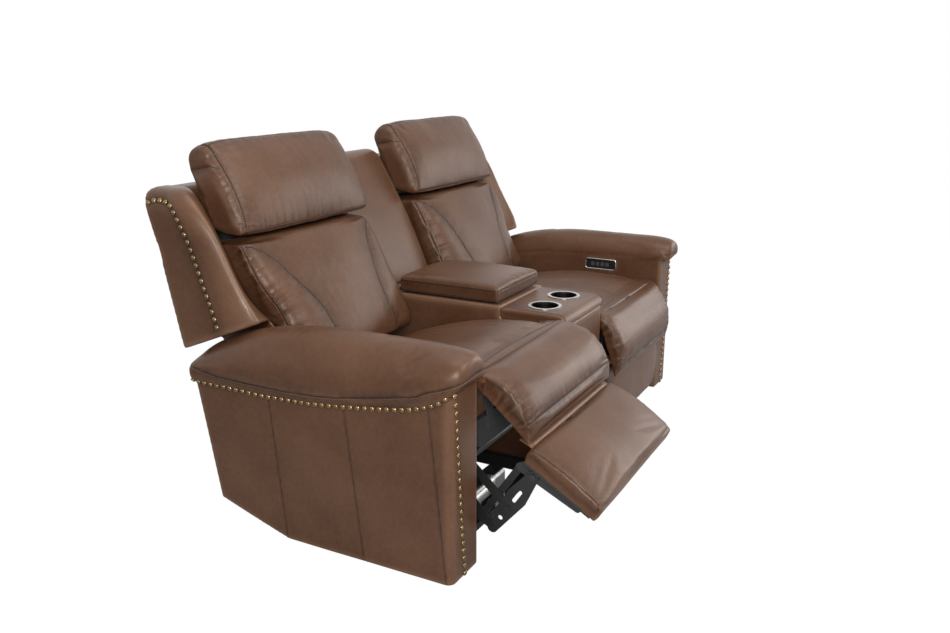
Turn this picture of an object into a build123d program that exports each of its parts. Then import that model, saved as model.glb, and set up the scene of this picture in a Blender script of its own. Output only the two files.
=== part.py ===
"""Reclining loveseat with a centre console, one solid file per piece, millimetres.

Front faces -Y, up is +Z, the floor is Z = 0 and X = 0 is the middle of the console.
Every piece of the +X seat is built closed; the -X seat is its mirror image, part open.
"""
import os
from math import cos, radians, sin

from build123d import *

# how boxes and round bars sit on their place
on_base = (Align.CENTER, Align.CENTER, Align.MIN)
hung = (Align.CENTER, Align.CENTER, Align.MAX)
rear_base = (Align.CENTER, Align.MIN, Align.MIN)
rear_mid = (Align.CENTER, Align.MIN, Align.CENTER)
rear_hung = (Align.CENTER, Align.MIN, Align.MAX)
front_base = (Align.CENTER, Align.MAX, Align.MIN)
front_mid = (Align.CENTER, Align.MAX, Align.CENTER)
front_hung = (Align.CENTER, Align.MAX, Align.MAX)
corner_base = (Align.MIN, Align.MIN, Align.MIN)
side_mid = (Align.MIN, Align.CENTER, Align.CENTER)
overlap = 1

# overall sizes
width = 1880
half_width = width / 2
arm_thick = 143
arm_inner = half_width - arm_thick
console_half = 173
seat_mid = (console_half + arm_inner) / 2
side_gap = 7
seat_in = console_half + side_gap
seat_out = arm_inner - side_gap

# arm panel and arm pad
foot_high = 10
foot_radius = 18
arm_front = -400
arm_flat_end = 140
arm_rear_curve = (282, 53)
arm_rear_low = (388, 86)
arm_rear_top = (457, 452)
arm_corner = 24
foot_rows = (-350, 90)
pad_overhang = 37
pad_inner_bulge = 2
pad_outer_bulge = 14
pad_crest_half = 36
pad_crest_drop = 9
pad_sink = 12
# along the arm: place, outer edge height, inner edge height, crest height
pad_line = [
    (478, 452, 458, 494),
    (440, 441, 474, 528),
    (340, 438, 508, 578),
    (252, 437, 528, 612),
    (113, 437, 548, 645),
    (-105, 456, 556, 657),
    (-290, 489, 564, 653),
    (-388, 530, 568, 646),
]
pad_nose = [(26, 556, 12, 634), (pad_overhang, 576, 34, 617)]

# switch plate in the arm and its buttons
switch_y = (-207, -74)
switch_z = (499, 541)
switch_depth = 14
switch_proud = 2
switch_rim = 4
button_count = 4
button_wide = 15
button_high = 16
button_pitch = 21
button_first = -106
button_deep = 8
button_proud = 1.4
button_travel = 1.0
button_fit = 0.2
port_wide = 14
port_high = 9
port_deep = 6
port_gap = 2

# console
box_front = -377
box_rear = 430
deck_low = 518
deck_top = 558
deck_front = -385
deck_rear = -152
deck_round = 32
deck_side_round = 9
tub_top = 562
tub_half = console_half - 38
tub_y = (-118, 226)
tub_floor = 330
wall = 18
box_base = 20
shelf = 16
cup_x = 80
cup_y = -271
cup_bore = 49
cup_outer = 47
cup_wall = 1.4
cup_flange = 56
cup_flange_thick = 2
cup_deep = 70
lid_half = console_half - 7
lid_front = -140
lid_rear = 250
lid_low = 568
lid_high = 626
lid_crown = 7
lid_round = 16
lid_board_thick = 12
lid_board_in = 8
hinge_y = 257
hinge_z = 569.5
hinge_pin = 2.5
hinge_knuckle = 5
hinge_leaf = 2.5
hinge_leaf_long = 44
hinge_half = 110
hinge_count = 5
hinge_clear = 0.3
run_fit = 0.06
back_half = console_half + 7
console_back_low = tub_top
console_back_front = [(322, console_back_low), (336, 597), (436, 811), (548, 1000)]
console_back_top = (604, 1018)
console_back_rear = [(655, 985), (530, console_back_low)]
console_back_round = 16

# seat, front pad, footrest: closed places of their pivots (y, z)
tilt_at = (100, 300)
tilt_pin = 8
flap_at = (-365, 466)
flap_long = 224
flap_slope = 69.5
flap_nose = 12
flap_bulge = 32
flap_face = 16
flap_end_round = 12
flap_end_full = 24
flap_gap = 2
# along the front pad from its end: distance, share of the full bulge
flap_ends = [(0, 0.45), (30, 0.8), (120, 0.97)]
flap_rod = 4
flap_slot = 46
flap_slot_deep = 4
flap_slot_high = 2.4
strap_wide = 40
strap_thick = 3
strap_gap = 2
strap_spread = 0.33
strap_step = strap_spread * (seat_out - seat_in)
strap_knuckle = 9
strap_low = 297
seat_front = -346
seat_rear = 198
seat_low = 335
seat_edge_drop = 16
seat_near_drop = 3
seat_crown = 4
seat_edge_band = 34
seat_top = [(seat_front, 474), (-110, 492), (140, 457), (seat_rear, 446)]
rail_out = arm_inner - 49
rail_wide = 26
rail_high = 73
front_rail = (-340, -310)
rear_rail = (165, 195)
spring_count = 5
spring_wire = 4
spring_swing = 34
spring_turns = 12

# footrest linkage: pivots of the closed seat
crank_at = (-248, 242)
crank_long = 190
crank_angle = 282.5
crank_sweep = 96.8
coupler_long = 209
coupler_angle = 124
second_crank_step = 80
control_arm = 45
control_turn = 164
slide_travel = 68
tilt_sweep = 14.5
flap_sweep = 47
near_share = 0.62
link_thick = 4
link_gap = 2
link_pin = 6
link_washer = 10
link_head = 9.5
link_head_thick = 2.5
washer_clear = 0.15
crank_end = 14
crank_tip = 13
control_end = 10
coupler_tip = 15
coupler_top = 17
coupler_belly = 30
coupler_slot = (46, 11)
coupler_hole = 7
coupler_belly_at = 0.6
coupler_slot_at = 0.62
coupler_hole_at = 0.2
torque_radius = 12
plate_inner = arm_inner - 43
crank_plane = plate_inner + link_thick + link_gap
coupler_plane = crank_plane + link_thick + link_gap

# footrest pad, measured along the pad from its top edge and down from its face
rest_pin = (50.4, 83.7)
rest_slope = 91
rest_long = 238
rest_in = seat_in + 2
rest_pad_thick = 50
rest_board_thick = 14
rest_crown = 8
rest_edge = 16
rest_turn = (0.3, 0.8)
rest_sink = 2
rest_near_crown = 0.8
rest_board_edge = 10
rest_bracket_end = 190

# carriage, base rails and drive
plate_line = [
    (-309, 297), (-297, 322), (40, 312), (100, 318), (140, 300), (190, 272), (310, 272), (362, 352),
    (408, 352), (408, 300), (330, 200), (250, 78), (-60, 78), (-60, 150), (-228, 212), (-264, 231),
]
base_rail = (arm_inner - 81, arm_inner - 59)
base_rail_z = (30, 70)
base_rail_y = (-300, 390)
shoe_wall = 5
shoe_low = 52
shoe_high = 78
shoe_y = [(-60, 30), (160, 250)]
shoe_fit = 0.05
cross_tube = 14
cross_tubes = [(-150, 190), (300, 240)]
bar_z = (8, 30)
bar_y = [(-312, -262), (330, 380)]
glide_radius = 14
gear_half = 32
gear_y = (-312, -250)
gear_top = 134
motor_radius = 29
motor_long = 112
motor_neck = 12
motor_at = (-281, 96)
screw_rail_half = 15
screw_rail_z = (92, 112)
screw_rail_end = 340
screw_post = 12
nut_half = 24
nut_y = (-150, -92)
nut_top = 132
nut_fit = 0.1
nut_arm_half = 10

# back: pieces of the upright seat back
recline_at = (385, 330)
recline_pin = 10
post_out = arm_inner - 47
post_wide = 26
post_deep = 40
post_line = [(385, 330), (372, 470), (551, 850), (598, 948)]
cross_rail_high = 46
cross_rail_deep = 32
back_slope = -25
cross_rail_at = (1, 2)
cushion_in = console_half + 14
cushion_roll = (60, 26)
cushion_shoulder = 0.62
# height, front corner, rear face, outer edge from the arm's inner face, crown of the face
cushion_line = [
    (470, 226, 352, -15, 40),
    (498, 230, 365, -9, 50),
    (640, 300, 435, -7, 54),
    (720, 340, 474, 22, 48),
    (800, 381, 513, 26, 32),
    (832, 400, 528, 23, 18),
]
shell_thick = 18
bridge_long = 220
shell_rear = [(461, 300), (536, 540), (661, 961), (664, 986)]
shell_cap = [(566, 905), (592, 972), (606, 986), (655, 986), (655, 961), (640, 905)]
shell_in = console_half + 17
shell_low_out = arm_inner - 11
shell_upper = (565, 640)
wing_out = half_width - 15
# height, rear edge, outer front, roll front, inner front, inner side from the arm, outer side drawn in
wing_line = [
    (500, 541, 384, 300, 330, 3, 0),
    (640, 577, 429, 298, 368, 3, 0),
    (705, 593, 456, 331, 402, 32, 0),
    (880, 638, 526, 428, 497, 32, 0),
    (945, 656, 558, 478, 536, 32, 0),
    (967, 660, 574, 504, 553, 32, 8),
    (990, 655, 600, 552, 584, 38, 46),
]
wing_roll_share = 0.29
wing_swell = (0.024, 0.064, 0.1)
wing_cut = [(240, 650), (274, 633), (570, 518), (570, 400), (240, 400)]

# headrest
head_at = (403, 868)
head_roll = 26
head_in = console_half + 15
head_out = arm_inner + 27
head_front_top = (474, 1082)
head_front_belly = (414, 980)
head_top = (528, 1124)
head_rear_top = (head_top[0] + 60, head_top[1] - 76)
head_rear_low = (524, 860)
# along the headrest from its end: distance, how far the form is drawn in
head_ends = [(0, 22), (30, 6), (110, 1)]
head_draw = 0.4
head_edge = 2
head_rod = 6
head_sleeve = 10
head_arm_step = post_out - seat_mid - 10
head_sleeve_half = head_arm_step - 19
head_board = 12
head_board_half = head_arm_step + 15
head_slot = 24
head_arm_thick = 8
head_arm_high = 16
head_board_step = (30, 40)
head_slot_room = (78, 170, 80, 20)


def on_x(place, y, z):
    """Plane for a round bar along X."""
    return Plane(origin=(place, y, z), x_dir=(0, 1, 0), z_dir=(1, 0, 0))


def on_y(place):
    """Plane across the arm, first axis along X and second axis up."""
    return Plane(origin=(0, place, 0), x_dir=(1, 0, 0), z_dir=(0, -1, 0))


def ray(angle, reach):
    """Step in the side view, angle from +Y towards +Z."""
    return (reach * cos(radians(angle)), reach * sin(radians(angle)))


def plus(a, b):
    """Sum of two side view points."""
    return (a[0] + b[0], a[1] + b[1])


def swing(point, centre, angle):
    """Side view point turned so that the front comes up."""
    y = point[0] - centre[0]
    z = point[1] - centre[1]
    c = cos(radians(angle))
    s = sin(radians(angle))
    return (centre[0] + y * c + z * s, centre[1] - y * s + z * c)


def slope_point(start, slope, along, depth):
    """Point along a pad that slopes down to the front, depth counted from its face."""
    c = cos(radians(slope))
    s = sin(radians(slope))
    return (start[0] - along * c + depth * s, start[1] - along * s - depth * c)


# places of the linkage pins, closed seat
crank_foot = plus(crank_at, ray(crank_angle, crank_long))
coupler_step = ray(coupler_angle, coupler_long)
rest_at = plus(crank_foot, coupler_step)
second_step = ray(coupler_angle, second_crank_step)
second_at = plus(crank_at, second_step)
second_foot = plus(crank_foot, second_step)
control_at = plus(crank_foot, ray(crank_angle + control_turn, control_arm))
control_top = plus(control_at, coupler_step)
rest_corner = slope_point(rest_at, rest_slope, -rest_pin[0], -rest_pin[1])


def rest_point(along, depth):
    """Footrest point of the closed seat."""
    return slope_point(rest_corner, rest_slope, along, depth)


def flap_point(along, depth):
    """Front pad point of the closed seat, from its hinge rod."""
    return slope_point(flap_at, flap_slope, along, depth)


# how far the pieces of the near seat have moved in the rest pose
near_slide = (-slide_travel * near_share, 0)
near_foot = plus(crank_at, ray(crank_angle - crank_sweep * near_share, crank_long))
near_link = (near_foot[0] - crank_foot[0] + near_slide[0], near_foot[1] - crank_foot[1])
near_control_at = swing(control_at, crank_at, crank_sweep * near_share)
near_control = (near_control_at[0] - control_at[0] + near_slide[0], near_control_at[1] - control_at[1])
near_hinge = swing(flap_at, tilt_at, tilt_sweep * near_share)
near_flap = (near_hinge[0] - flap_at[0] + near_slide[0], near_hinge[1] - flap_at[1])

os.makedirs("parts", exist_ok=True)


def save(solid, name):
    """Label a piece and write its file."""
    solid.label = name
    export_step(solid, "parts/" + name + ".step")


def near_side(solid, angle=0, centre=(0, 0), step=(0, 0)):
    """Mirror image of a far piece, turned front up about a pivot, then moved."""
    image = mirror(solid, about=Plane.YZ)
    turned = image.rotate(Axis((0, centre[0], centre[1]), (-1, 0, 0)), angle)
    return turned.moved(Location((0, step[0], step[1])))


def save_pair(solid, name, angle=0, centre=(0, 0), step=(0, 0)):
    """Write the far piece and its near mirror image."""
    save(solid, name + "_r")
    save(near_side(solid, angle, centre, step), name + "_l")


# arm panel: upright body of the arm, standing on two glides
with BuildPart() as arm_panel:
    with BuildSketch(Plane.YZ.offset(arm_inner)):
        with BuildLine():
            Line((arm_front, foot_high), (arm_flat_end, foot_high))
            ThreePointArc((arm_flat_end, foot_high), arm_rear_curve, arm_rear_low)
            Line(arm_rear_low, arm_rear_top)
            Polyline([arm_rear_top] + [(y, z) for y, _, z, _ in pad_line[1:-1]]
                     + [(arm_front, pad_line[-1][2])])
            Line((arm_front, pad_line[-1][2]), (arm_front, foot_high))
        make_face()
    extrude(amount=arm_thick)
    for place, outer, inner, _ in [(pad_line[0][0] + pad_sink,) + pad_line[0][1:]] + pad_line[1:-1] + [
            (arm_front - pad_sink,) + pad_line[-1][1:]]:
        with BuildSketch(on_y(place)):
            with BuildLine():
                Polyline((arm_inner - pad_sink, inner + pad_sink * (inner - outer) / arm_thick),
                         (half_width + pad_sink, outer - pad_sink * (inner - outer) / arm_thick),
                         (half_width + pad_sink, inner + arm_thick), close=True)
            make_face()
    loft(ruled=True, mode=Mode.SUBTRACT)
    fillet(arm_panel.edges().filter_by(Axis.Z).group_by(Axis.Y)[0].group_by(Axis.X)[-1], arm_corner)
    with Locations([(arm_inner + arm_thick / 2, place, 0) for place in foot_rows]):
        Cylinder(foot_radius, foot_high, align=on_base)

# arm pad: soft top that rolls over the front of the panel
with BuildPart() as arm_pad:
    for place, outer, inner, crest in pad_line:
        with BuildSketch(on_y(place)):
            with BuildLine():
                mid = (arm_inner + half_width) / 2
                low_in = (arm_inner, inner - pad_sink)
                low_out = (half_width, outer - pad_sink)
                high_out = (mid + pad_crest_half, crest - pad_crest_drop)
                high_in = (mid - pad_crest_half, crest - pad_crest_drop)
                Line(low_in, low_out)
                ThreePointArc(low_out, (half_width + pad_outer_bulge, (outer + crest) / 2), high_out)
                ThreePointArc(high_out, (mid, crest), high_in)
                ThreePointArc(high_in, (arm_inner - pad_inner_bulge + pad_crest_drop,
                                        (inner + crest) / 2 + pad_crest_drop), low_in)
            make_face()
    for ahead, low, narrow, crest in pad_nose:
        with BuildSketch(on_y(arm_front - ahead)):
            with BuildLine():
                mid = (arm_inner + half_width) / 2
                low_in = (arm_inner + narrow, low)
                low_out = (half_width - narrow, low)
                high_out = (mid + pad_crest_half, crest - pad_crest_drop)
                high_in = (mid - pad_crest_half, crest - pad_crest_drop)
                Line(low_in, low_out)
                full_out = (half_width - narrow + pad_outer_bulge / 2, (low + crest) / 2)
                ThreePointArc(low_out, full_out, high_out)
                ThreePointArc(high_out, (mid, crest), high_in)
                ThreePointArc(high_in, (arm_inner + narrow, (low + crest) / 2), low_in)
            make_face()
    loft()
    add(arm_panel.part, mode=Mode.SUBTRACT)
save_pair(arm_pad.part, "arm_pad")

# the panel gets the well of the switch plate
switch_mid = (sum(switch_y) / 2, sum(switch_z) / 2)
switch_size = (switch_y[1] - switch_y[0], switch_z[1] - switch_z[0])
with BuildPart() as arm_body:
    add(arm_panel.part)
    with Locations((arm_inner, switch_mid[0], switch_mid[1])):
        Box(switch_depth, switch_size[0] - 2 * switch_rim, switch_size[1] - 2 * switch_rim,
            align=side_mid, mode=Mode.SUBTRACT)
save_pair(arm_body.part, "arm_panel")

# switch plate with a raised rim, a blank port and wells for the buttons
button_places = [button_first - n * button_pitch for n in range(button_count)]
with BuildPart() as switch_plate:
    with Locations((arm_inner, switch_mid[0], switch_mid[1])):
        Box(switch_depth, switch_size[0] - 2 * switch_rim, switch_size[1] - 2 * switch_rim,
            align=side_mid)
        Box(switch_proud, switch_size[0], switch_size[1], align=(Align.MAX, Align.CENTER, Align.CENTER))
    fillet(switch_plate.edges().filter_by(Axis.X).group_by(Axis.X)[0], switch_rim)
    with Locations([(arm_inner - switch_proud, place, switch_mid[1]) for place in button_places]):
        Box(button_deep + button_travel, button_wide + 2 * button_fit, button_high + 2 * button_fit,
            align=side_mid, mode=Mode.SUBTRACT)
    port_at = button_places[-1] - (button_pitch + port_wide) / 2
    with Locations((arm_inner - switch_proud, port_at, switch_mid[1])):
        Box(port_deep, port_wide - port_gap, port_high, align=side_mid, mode=Mode.SUBTRACT)
save_pair(switch_plate.part, "switch_plate")
for number, place in enumerate(button_places):
    with BuildPart() as button:
        with Locations((arm_inner - switch_proud - button_proud, place, switch_mid[1])):
            Box(button_deep + button_proud, button_wide, button_high,
                align=side_mid)
        fillet(button.edges().filter_by(Axis.X), 2 * button_proud)
    save_pair(button.part, "button_" + str(number + 1))

# console box: boards around a storage tub, open behind under the tub
with BuildPart() as console_box:
    with BuildSketch(Plane.YZ.offset(-console_half)):
        with BuildLine():
            Polyline((box_front, 0), (box_rear, 0), (box_rear, tub_top), (deck_rear, tub_top),
                     (deck_rear, deck_low), (box_front, deck_low), close=True)
        make_face()
    extrude(amount=2 * console_half)
    with Locations((0, tub_y[0], tub_floor)):
        Box(2 * tub_half, tub_y[1] - tub_y[0], tub_top - tub_floor,
            align=rear_base, mode=Mode.SUBTRACT)
    with Locations((0, box_front + wall, box_base)):
        Box(2 * (console_half - wall), box_rear - box_front, tub_floor - shelf - box_base,
            align=rear_base, mode=Mode.SUBTRACT)
    with Locations((-cup_x, cup_y, deck_low), (cup_x, cup_y, deck_low)):
        Cylinder(cup_bore, cup_deep, align=hung, mode=Mode.SUBTRACT)
save(console_box.part, "console_box")

# padded deck in front of the lid, bored for the cup holders
with BuildPart() as console_deck:
    with BuildSketch(Plane.YZ.offset(-console_half)):
        with BuildLine():
            Polyline((deck_front, deck_low), (deck_rear, deck_low), (deck_rear, deck_top),
                     (deck_front + deck_round, deck_top))
            RadiusArc((deck_front + deck_round, deck_top), (deck_front, deck_top - deck_round), -deck_round)
            Line((deck_front, deck_top - deck_round), (deck_front, deck_low))
        make_face()
    extrude(amount=2 * console_half)
    fillet(console_deck.edges().filter_by(Axis.Y).group_by(Axis.Z)[-1], deck_side_round)
    with Locations((-cup_x, cup_y, deck_low), (cup_x, cup_y, deck_low)):
        Cylinder(cup_bore, 2 * deck_top, mode=Mode.SUBTRACT)
save(console_deck.part, "console_deck")

# steel cup holders hung by their flanges
with BuildPart() as cup_holders:
    with BuildSketch(Plane.XZ):
        with BuildLine():
            Polyline((0, deck_top - cup_deep), (cup_outer, deck_top - cup_deep), (cup_outer, deck_top),
                     (cup_flange, deck_top), (cup_flange, deck_top + cup_flange_thick),
                     (cup_outer - cup_wall, deck_top + cup_flange_thick),
                     (cup_outer - cup_wall, deck_top - cup_deep + cup_wall),
                     (0, deck_top - cup_deep + cup_wall), close=True)
        make_face()
    revolve(axis=Axis.Z)
both_cups = [cup_holders.part.moved(Location((side * cup_x, cup_y, 0))) for side in (-1, 1)]
save(Compound(both_cups), "cup_holders")

# fixed back behind the console
with BuildPart() as console_back:
    with BuildSketch(Plane.YZ.offset(-back_half)):
        with BuildLine():
            Line(console_back_front[0], console_back_front[1])
            ThreePointArc(*console_back_front[1:])
            ThreePointArc(console_back_front[-1], console_back_top, console_back_rear[0])
            Line(console_back_rear[0], console_back_rear[1])
            Line(console_back_rear[1], console_back_front[0])
        make_face()
    extrude(amount=2 * back_half)
    sides = console_back.faces().sort_by(Axis.X)
    upper = [e for e in (sides[0].edges() + sides[-1].edges()) if e.center().Z > console_back_low + overlap]
    fillet(upper, console_back_round)
save(console_back.part, "console_back")

# lid board with the moving hinge leaf, lid pad, fixed hinge leaf with its pin
knuckle_long = 2 * hinge_half / hinge_count
with BuildPart() as lid_board:
    with Locations((0, lid_front + lid_board_in, lid_low)):
        Box(2 * (lid_half - lid_board_in), lid_rear - lid_front - lid_board_in, lid_board_thick,
            align=rear_base)
    with Locations((0, hinge_y, lid_low)):
        Box(2 * hinge_half, hinge_leaf_long, hinge_leaf, align=front_hung)
    with Locations(on_x(-hinge_half, hinge_y, hinge_z)):
        Cylinder(hinge_knuckle, 2 * hinge_half, align=on_base)
    with Locations(on_x(-hinge_half, hinge_y, hinge_z)):
        Cylinder(hinge_pin + run_fit, 2 * hinge_half, align=on_base,
                 mode=Mode.SUBTRACT)
    for number in range(0, hinge_count, 2):
        with Locations((-hinge_half + number * knuckle_long - hinge_clear, hinge_y, hinge_z)):
            Box(knuckle_long + 2 * hinge_clear, 2 * (hinge_knuckle + overlap), 2 * (hinge_knuckle + overlap),
                align=side_mid, mode=Mode.SUBTRACT)
with BuildPart() as lid_pad:
    for place, drop in ((-lid_half, lid_crown), (0, 0), (lid_half, lid_crown)):
        with BuildSketch(Plane.YZ.offset(place)):
            with BuildLine():
                Line((lid_front, lid_low), (lid_rear, lid_low))
                Line((lid_rear, lid_low), (lid_rear, lid_high - drop))
                crest = ((lid_front + lid_rear) / 2, lid_high + lid_crown - drop)
                ThreePointArc((lid_rear, lid_high - drop), crest, (lid_front, lid_high - drop))
                Line((lid_front, lid_high - drop), (lid_front, lid_low))
            make_face()
    loft()
    fillet(lid_pad.faces().sort_by(Axis.Z)[-1].edges(), lid_round)
    add(lid_board.part, mode=Mode.SUBTRACT)
save(lid_board.part, "lid_board")
save(lid_pad.part, "lid_pad")
with BuildPart() as lid_hinge:
    with Locations((0, hinge_y, tub_top)):
        Box(2 * hinge_half, hinge_leaf_long, hinge_leaf, align=rear_base)
    with Locations(on_x(-hinge_half, hinge_y, hinge_z)):
        Cylinder(hinge_pin, 2 * hinge_half, align=on_base)
    for number in range(0, hinge_count, 2):
        with Locations(on_x(-hinge_half + number * knuckle_long, hinge_y, hinge_z)):
            Cylinder(hinge_knuckle, knuckle_long, align=on_base)
        with Locations((-hinge_half + number * knuckle_long, hinge_y, tub_top)):
            Box(knuckle_long, hinge_knuckle, hinge_z - tub_top, align=corner_base)
save(lid_hinge.part, "lid_hinge")

# base rails on cross bars that tie the arm to the console
mid_plane = Plane.YZ.offset(seat_mid)
with BuildPart() as base_rails:
    with Locations((base_rail[0], base_rail_y[0], base_rail_z[0])):
        Box(base_rail[1] - base_rail[0], base_rail_y[1] - base_rail_y[0], base_rail_z[1] - base_rail_z[0],
            align=corner_base)
    mirror(about=mid_plane)
    for first, last in bar_y:
        with Locations((seat_mid, first, bar_z[0])):
            Box(arm_inner - console_half, last - first, bar_z[1] - bar_z[0],
                align=rear_base)
        glide_step = base_rail[0] - seat_mid
        with Locations([(seat_mid + side * glide_step, (first + last) / 2, 0) for side in (-1, 1)]):
            Cylinder(glide_radius, bar_z[0], align=on_base)
save_pair(base_rails.part, "base_rails")

# screw drive: gearbox with motor can, and the rail that guides the nut
with BuildPart() as drive_motor:
    with Locations((seat_mid, gear_y[0], bar_z[1])):
        Box(2 * gear_half, gear_y[1] - gear_y[0], gear_top - bar_z[1], align=rear_base)
    fillet(drive_motor.edges().filter_by(Axis.X).group_by(Axis.Z)[-1], motor_neck)
    with Locations(on_x(seat_mid + gear_half, motor_at[0], motor_at[1])):
        Cylinder(motor_radius, motor_long, align=on_base)
    with Locations(on_x(seat_mid + gear_half + motor_long, motor_at[0], motor_at[1])):
        Cylinder(motor_neck, motor_neck, align=on_base)
save_pair(drive_motor.part, "drive_motor")
with BuildPart() as drive_rail:
    with Locations((seat_mid, gear_y[1], screw_rail_z[0])):
        Box(2 * screw_rail_half, screw_rail_end - gear_y[1], screw_rail_z[1] - screw_rail_z[0],
            align=rear_base)
    with Locations((seat_mid, screw_rail_end, bar_z[1])):
        Box(2 * screw_rail_half, screw_post, screw_rail_z[1] - bar_z[1], align=rear_base)
save_pair(drive_rail.part, "drive_rail")

# carriage: two side plates on shoes, cross tubes and the nut of the screw drive
with BuildPart() as carriage:
    with BuildSketch(Plane.YZ.offset(plate_inner)):
        with BuildLine():
            Polyline(plate_line, close=True)
        make_face()
        with Locations(crank_at):
            Circle(torque_radius + run_fit, mode=Mode.SUBTRACT)
        with Locations(second_at):
            Circle(link_pin + run_fit, mode=Mode.SUBTRACT)
        with Locations(tilt_at):
            Circle(tilt_pin + run_fit, mode=Mode.SUBTRACT)
        with Locations(recline_at):
            Circle(recline_pin + run_fit, mode=Mode.SUBTRACT)
    extrude(amount=link_thick)
    for first, last in shoe_y:
        with Locations((base_rail[0] - shoe_wall, first, shoe_low)):
            Box(plate_inner + link_thick - base_rail[0] + shoe_wall, last - first, shoe_high - shoe_low,
                align=corner_base)
        with Locations((base_rail[0] - shoe_fit, first, 0)):
            Box(base_rail[1] - base_rail[0] + 2 * shoe_fit, last - first, base_rail_z[1] + shoe_fit,
                align=corner_base, mode=Mode.SUBTRACT)
    mirror(about=mid_plane)
    for place in cross_tubes:
        with Locations(on_x(seat_mid, place[0], place[1])):
            Cylinder(cross_tube, 2 * (plate_inner - seat_mid))
    with Locations((seat_mid, nut_y[0], screw_rail_z[0])):
        Box(2 * nut_half, nut_y[1] - nut_y[0], nut_top - screw_rail_z[0], align=rear_base)
    with Locations((seat_mid, nut_y[0], screw_rail_z[0])):
        Box(2 * (screw_rail_half + nut_fit), nut_y[1] - nut_y[0], screw_rail_z[1] - screw_rail_z[0] + nut_fit,
            align=rear_base, mode=Mode.SUBTRACT)
    with Locations((seat_mid, cross_tubes[0][0] + cross_tube, nut_top)):
        Box(2 * nut_arm_half, 2 * cross_tube, cross_tubes[0][1] - nut_top, align=on_base)
save_pair(carriage.part, "carriage", step=near_slide)

# seat frame: four rails, straps with the hinge rod of the front pad, tilt pins
with BuildPart() as seat_frame:
    rail_in = 2 * seat_mid - rail_out
    with Locations((seat_mid, front_rail[0], seat_low)):
        Box(rail_out - rail_in, rear_rail[1] - front_rail[0], rail_high, align=rear_hung)
    with Locations((seat_mid, front_rail[1], seat_low)):
        Box(rail_out - rail_in - 2 * rail_wide, rear_rail[0] - front_rail[1], 2 * rail_high,
            align=rear_mid, mode=Mode.SUBTRACT)
    for step in (-strap_step, 0, strap_step):
        with Locations((seat_mid + step, seat_front - strap_gap, strap_low)):
            Box(strap_wide, strap_thick, flap_at[1] - strap_low, align=front_base)
        with Locations((seat_mid + step, front_rail[0], strap_low)):
            Box(strap_wide, front_rail[0] - seat_front + strap_gap, seat_low - strap_low,
                align=front_base)
        with Locations((seat_mid + step, seat_front - strap_gap, flap_at[1])):
            Box(strap_wide, seat_front - strap_gap - flap_at[0], strap_knuckle,
                align=front_hung)
        with Locations(on_x(seat_mid + step, flap_at[0], flap_at[1])):
            Cylinder(strap_knuckle, strap_wide)
    with Locations(on_x(seat_mid, flap_at[0], flap_at[1])):
        Cylinder(flap_rod, rail_out - rail_in)
    with Locations(on_x(seat_mid, tilt_at[0], tilt_at[1])):
        for side in (-1, 1):
            with Locations((0, 0, side * (rail_out - seat_mid))):
                Cylinder(tilt_pin, 2 * (plate_inner + link_thick - rail_out + overlap))
save_pair(seat_frame.part, "seat_frame", tilt_sweep * near_share, tilt_at, near_slide)

# sinuous springs from the front rail to the rear rail
spring_step = (rail_out - seat_mid - rail_wide) * 2 / (spring_count + 1)
spring_run = (rear_rail[0] - front_rail[1]) / spring_turns
with BuildPart() as seat_springs:
    for number in range(spring_count):
        across = seat_mid + spring_step * (number - (spring_count - 1) / 2)
        bends = [(across + spring_swing / 2 * (1 if (n // 2) % 2 else -1),
                  front_rail[1] + spring_run * ((n + 1) // 2)) for n in range(2 * spring_turns + 1)]
        with BuildSketch(Plane.XY.offset(seat_low - spring_wire)):
            with BuildLine() as spring_path:
                Polyline(bends)
            trace(spring_path.line, spring_wire)
        extrude(amount=spring_wire)
    with Locations((seat_mid, rear_rail[0], seat_low)):
        Box(width, rear_rail[1], 4 * spring_wire, align=rear_mid, mode=Mode.SUBTRACT)
    with Locations((seat_mid, front_rail[1], seat_low)):
        Box(width, -front_rail[1], 4 * spring_wire, align=front_mid, mode=Mode.SUBTRACT)
save_pair(seat_springs.part, "seat_springs", tilt_sweep * near_share, tilt_at, near_slide)

# seat cushion: crowned across and along, drawn down at its sides
with BuildPart() as seat_cushion:
    for place, drop in ((seat_in, seat_edge_drop), (seat_in + seat_edge_band, seat_near_drop),
                        (seat_mid, -seat_crown), (seat_out - seat_edge_band, seat_near_drop),
                        (seat_out, seat_edge_drop)):
        with BuildSketch(Plane.YZ.offset(place)):
            with BuildLine():
                top = [(y, z - drop) for y, z in seat_top]
                Line((seat_front, seat_low), top[0])
                ThreePointArc(top[0], top[1], top[2])
                Line(top[2], top[3])
                Line(top[3], (seat_rear, seat_low))
                Line((seat_rear, seat_low), (seat_front, seat_low))
            make_face()
    loft()
save_pair(seat_cushion.part, "seat_cushion", tilt_sweep * near_share, tilt_at, near_slide)

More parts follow.
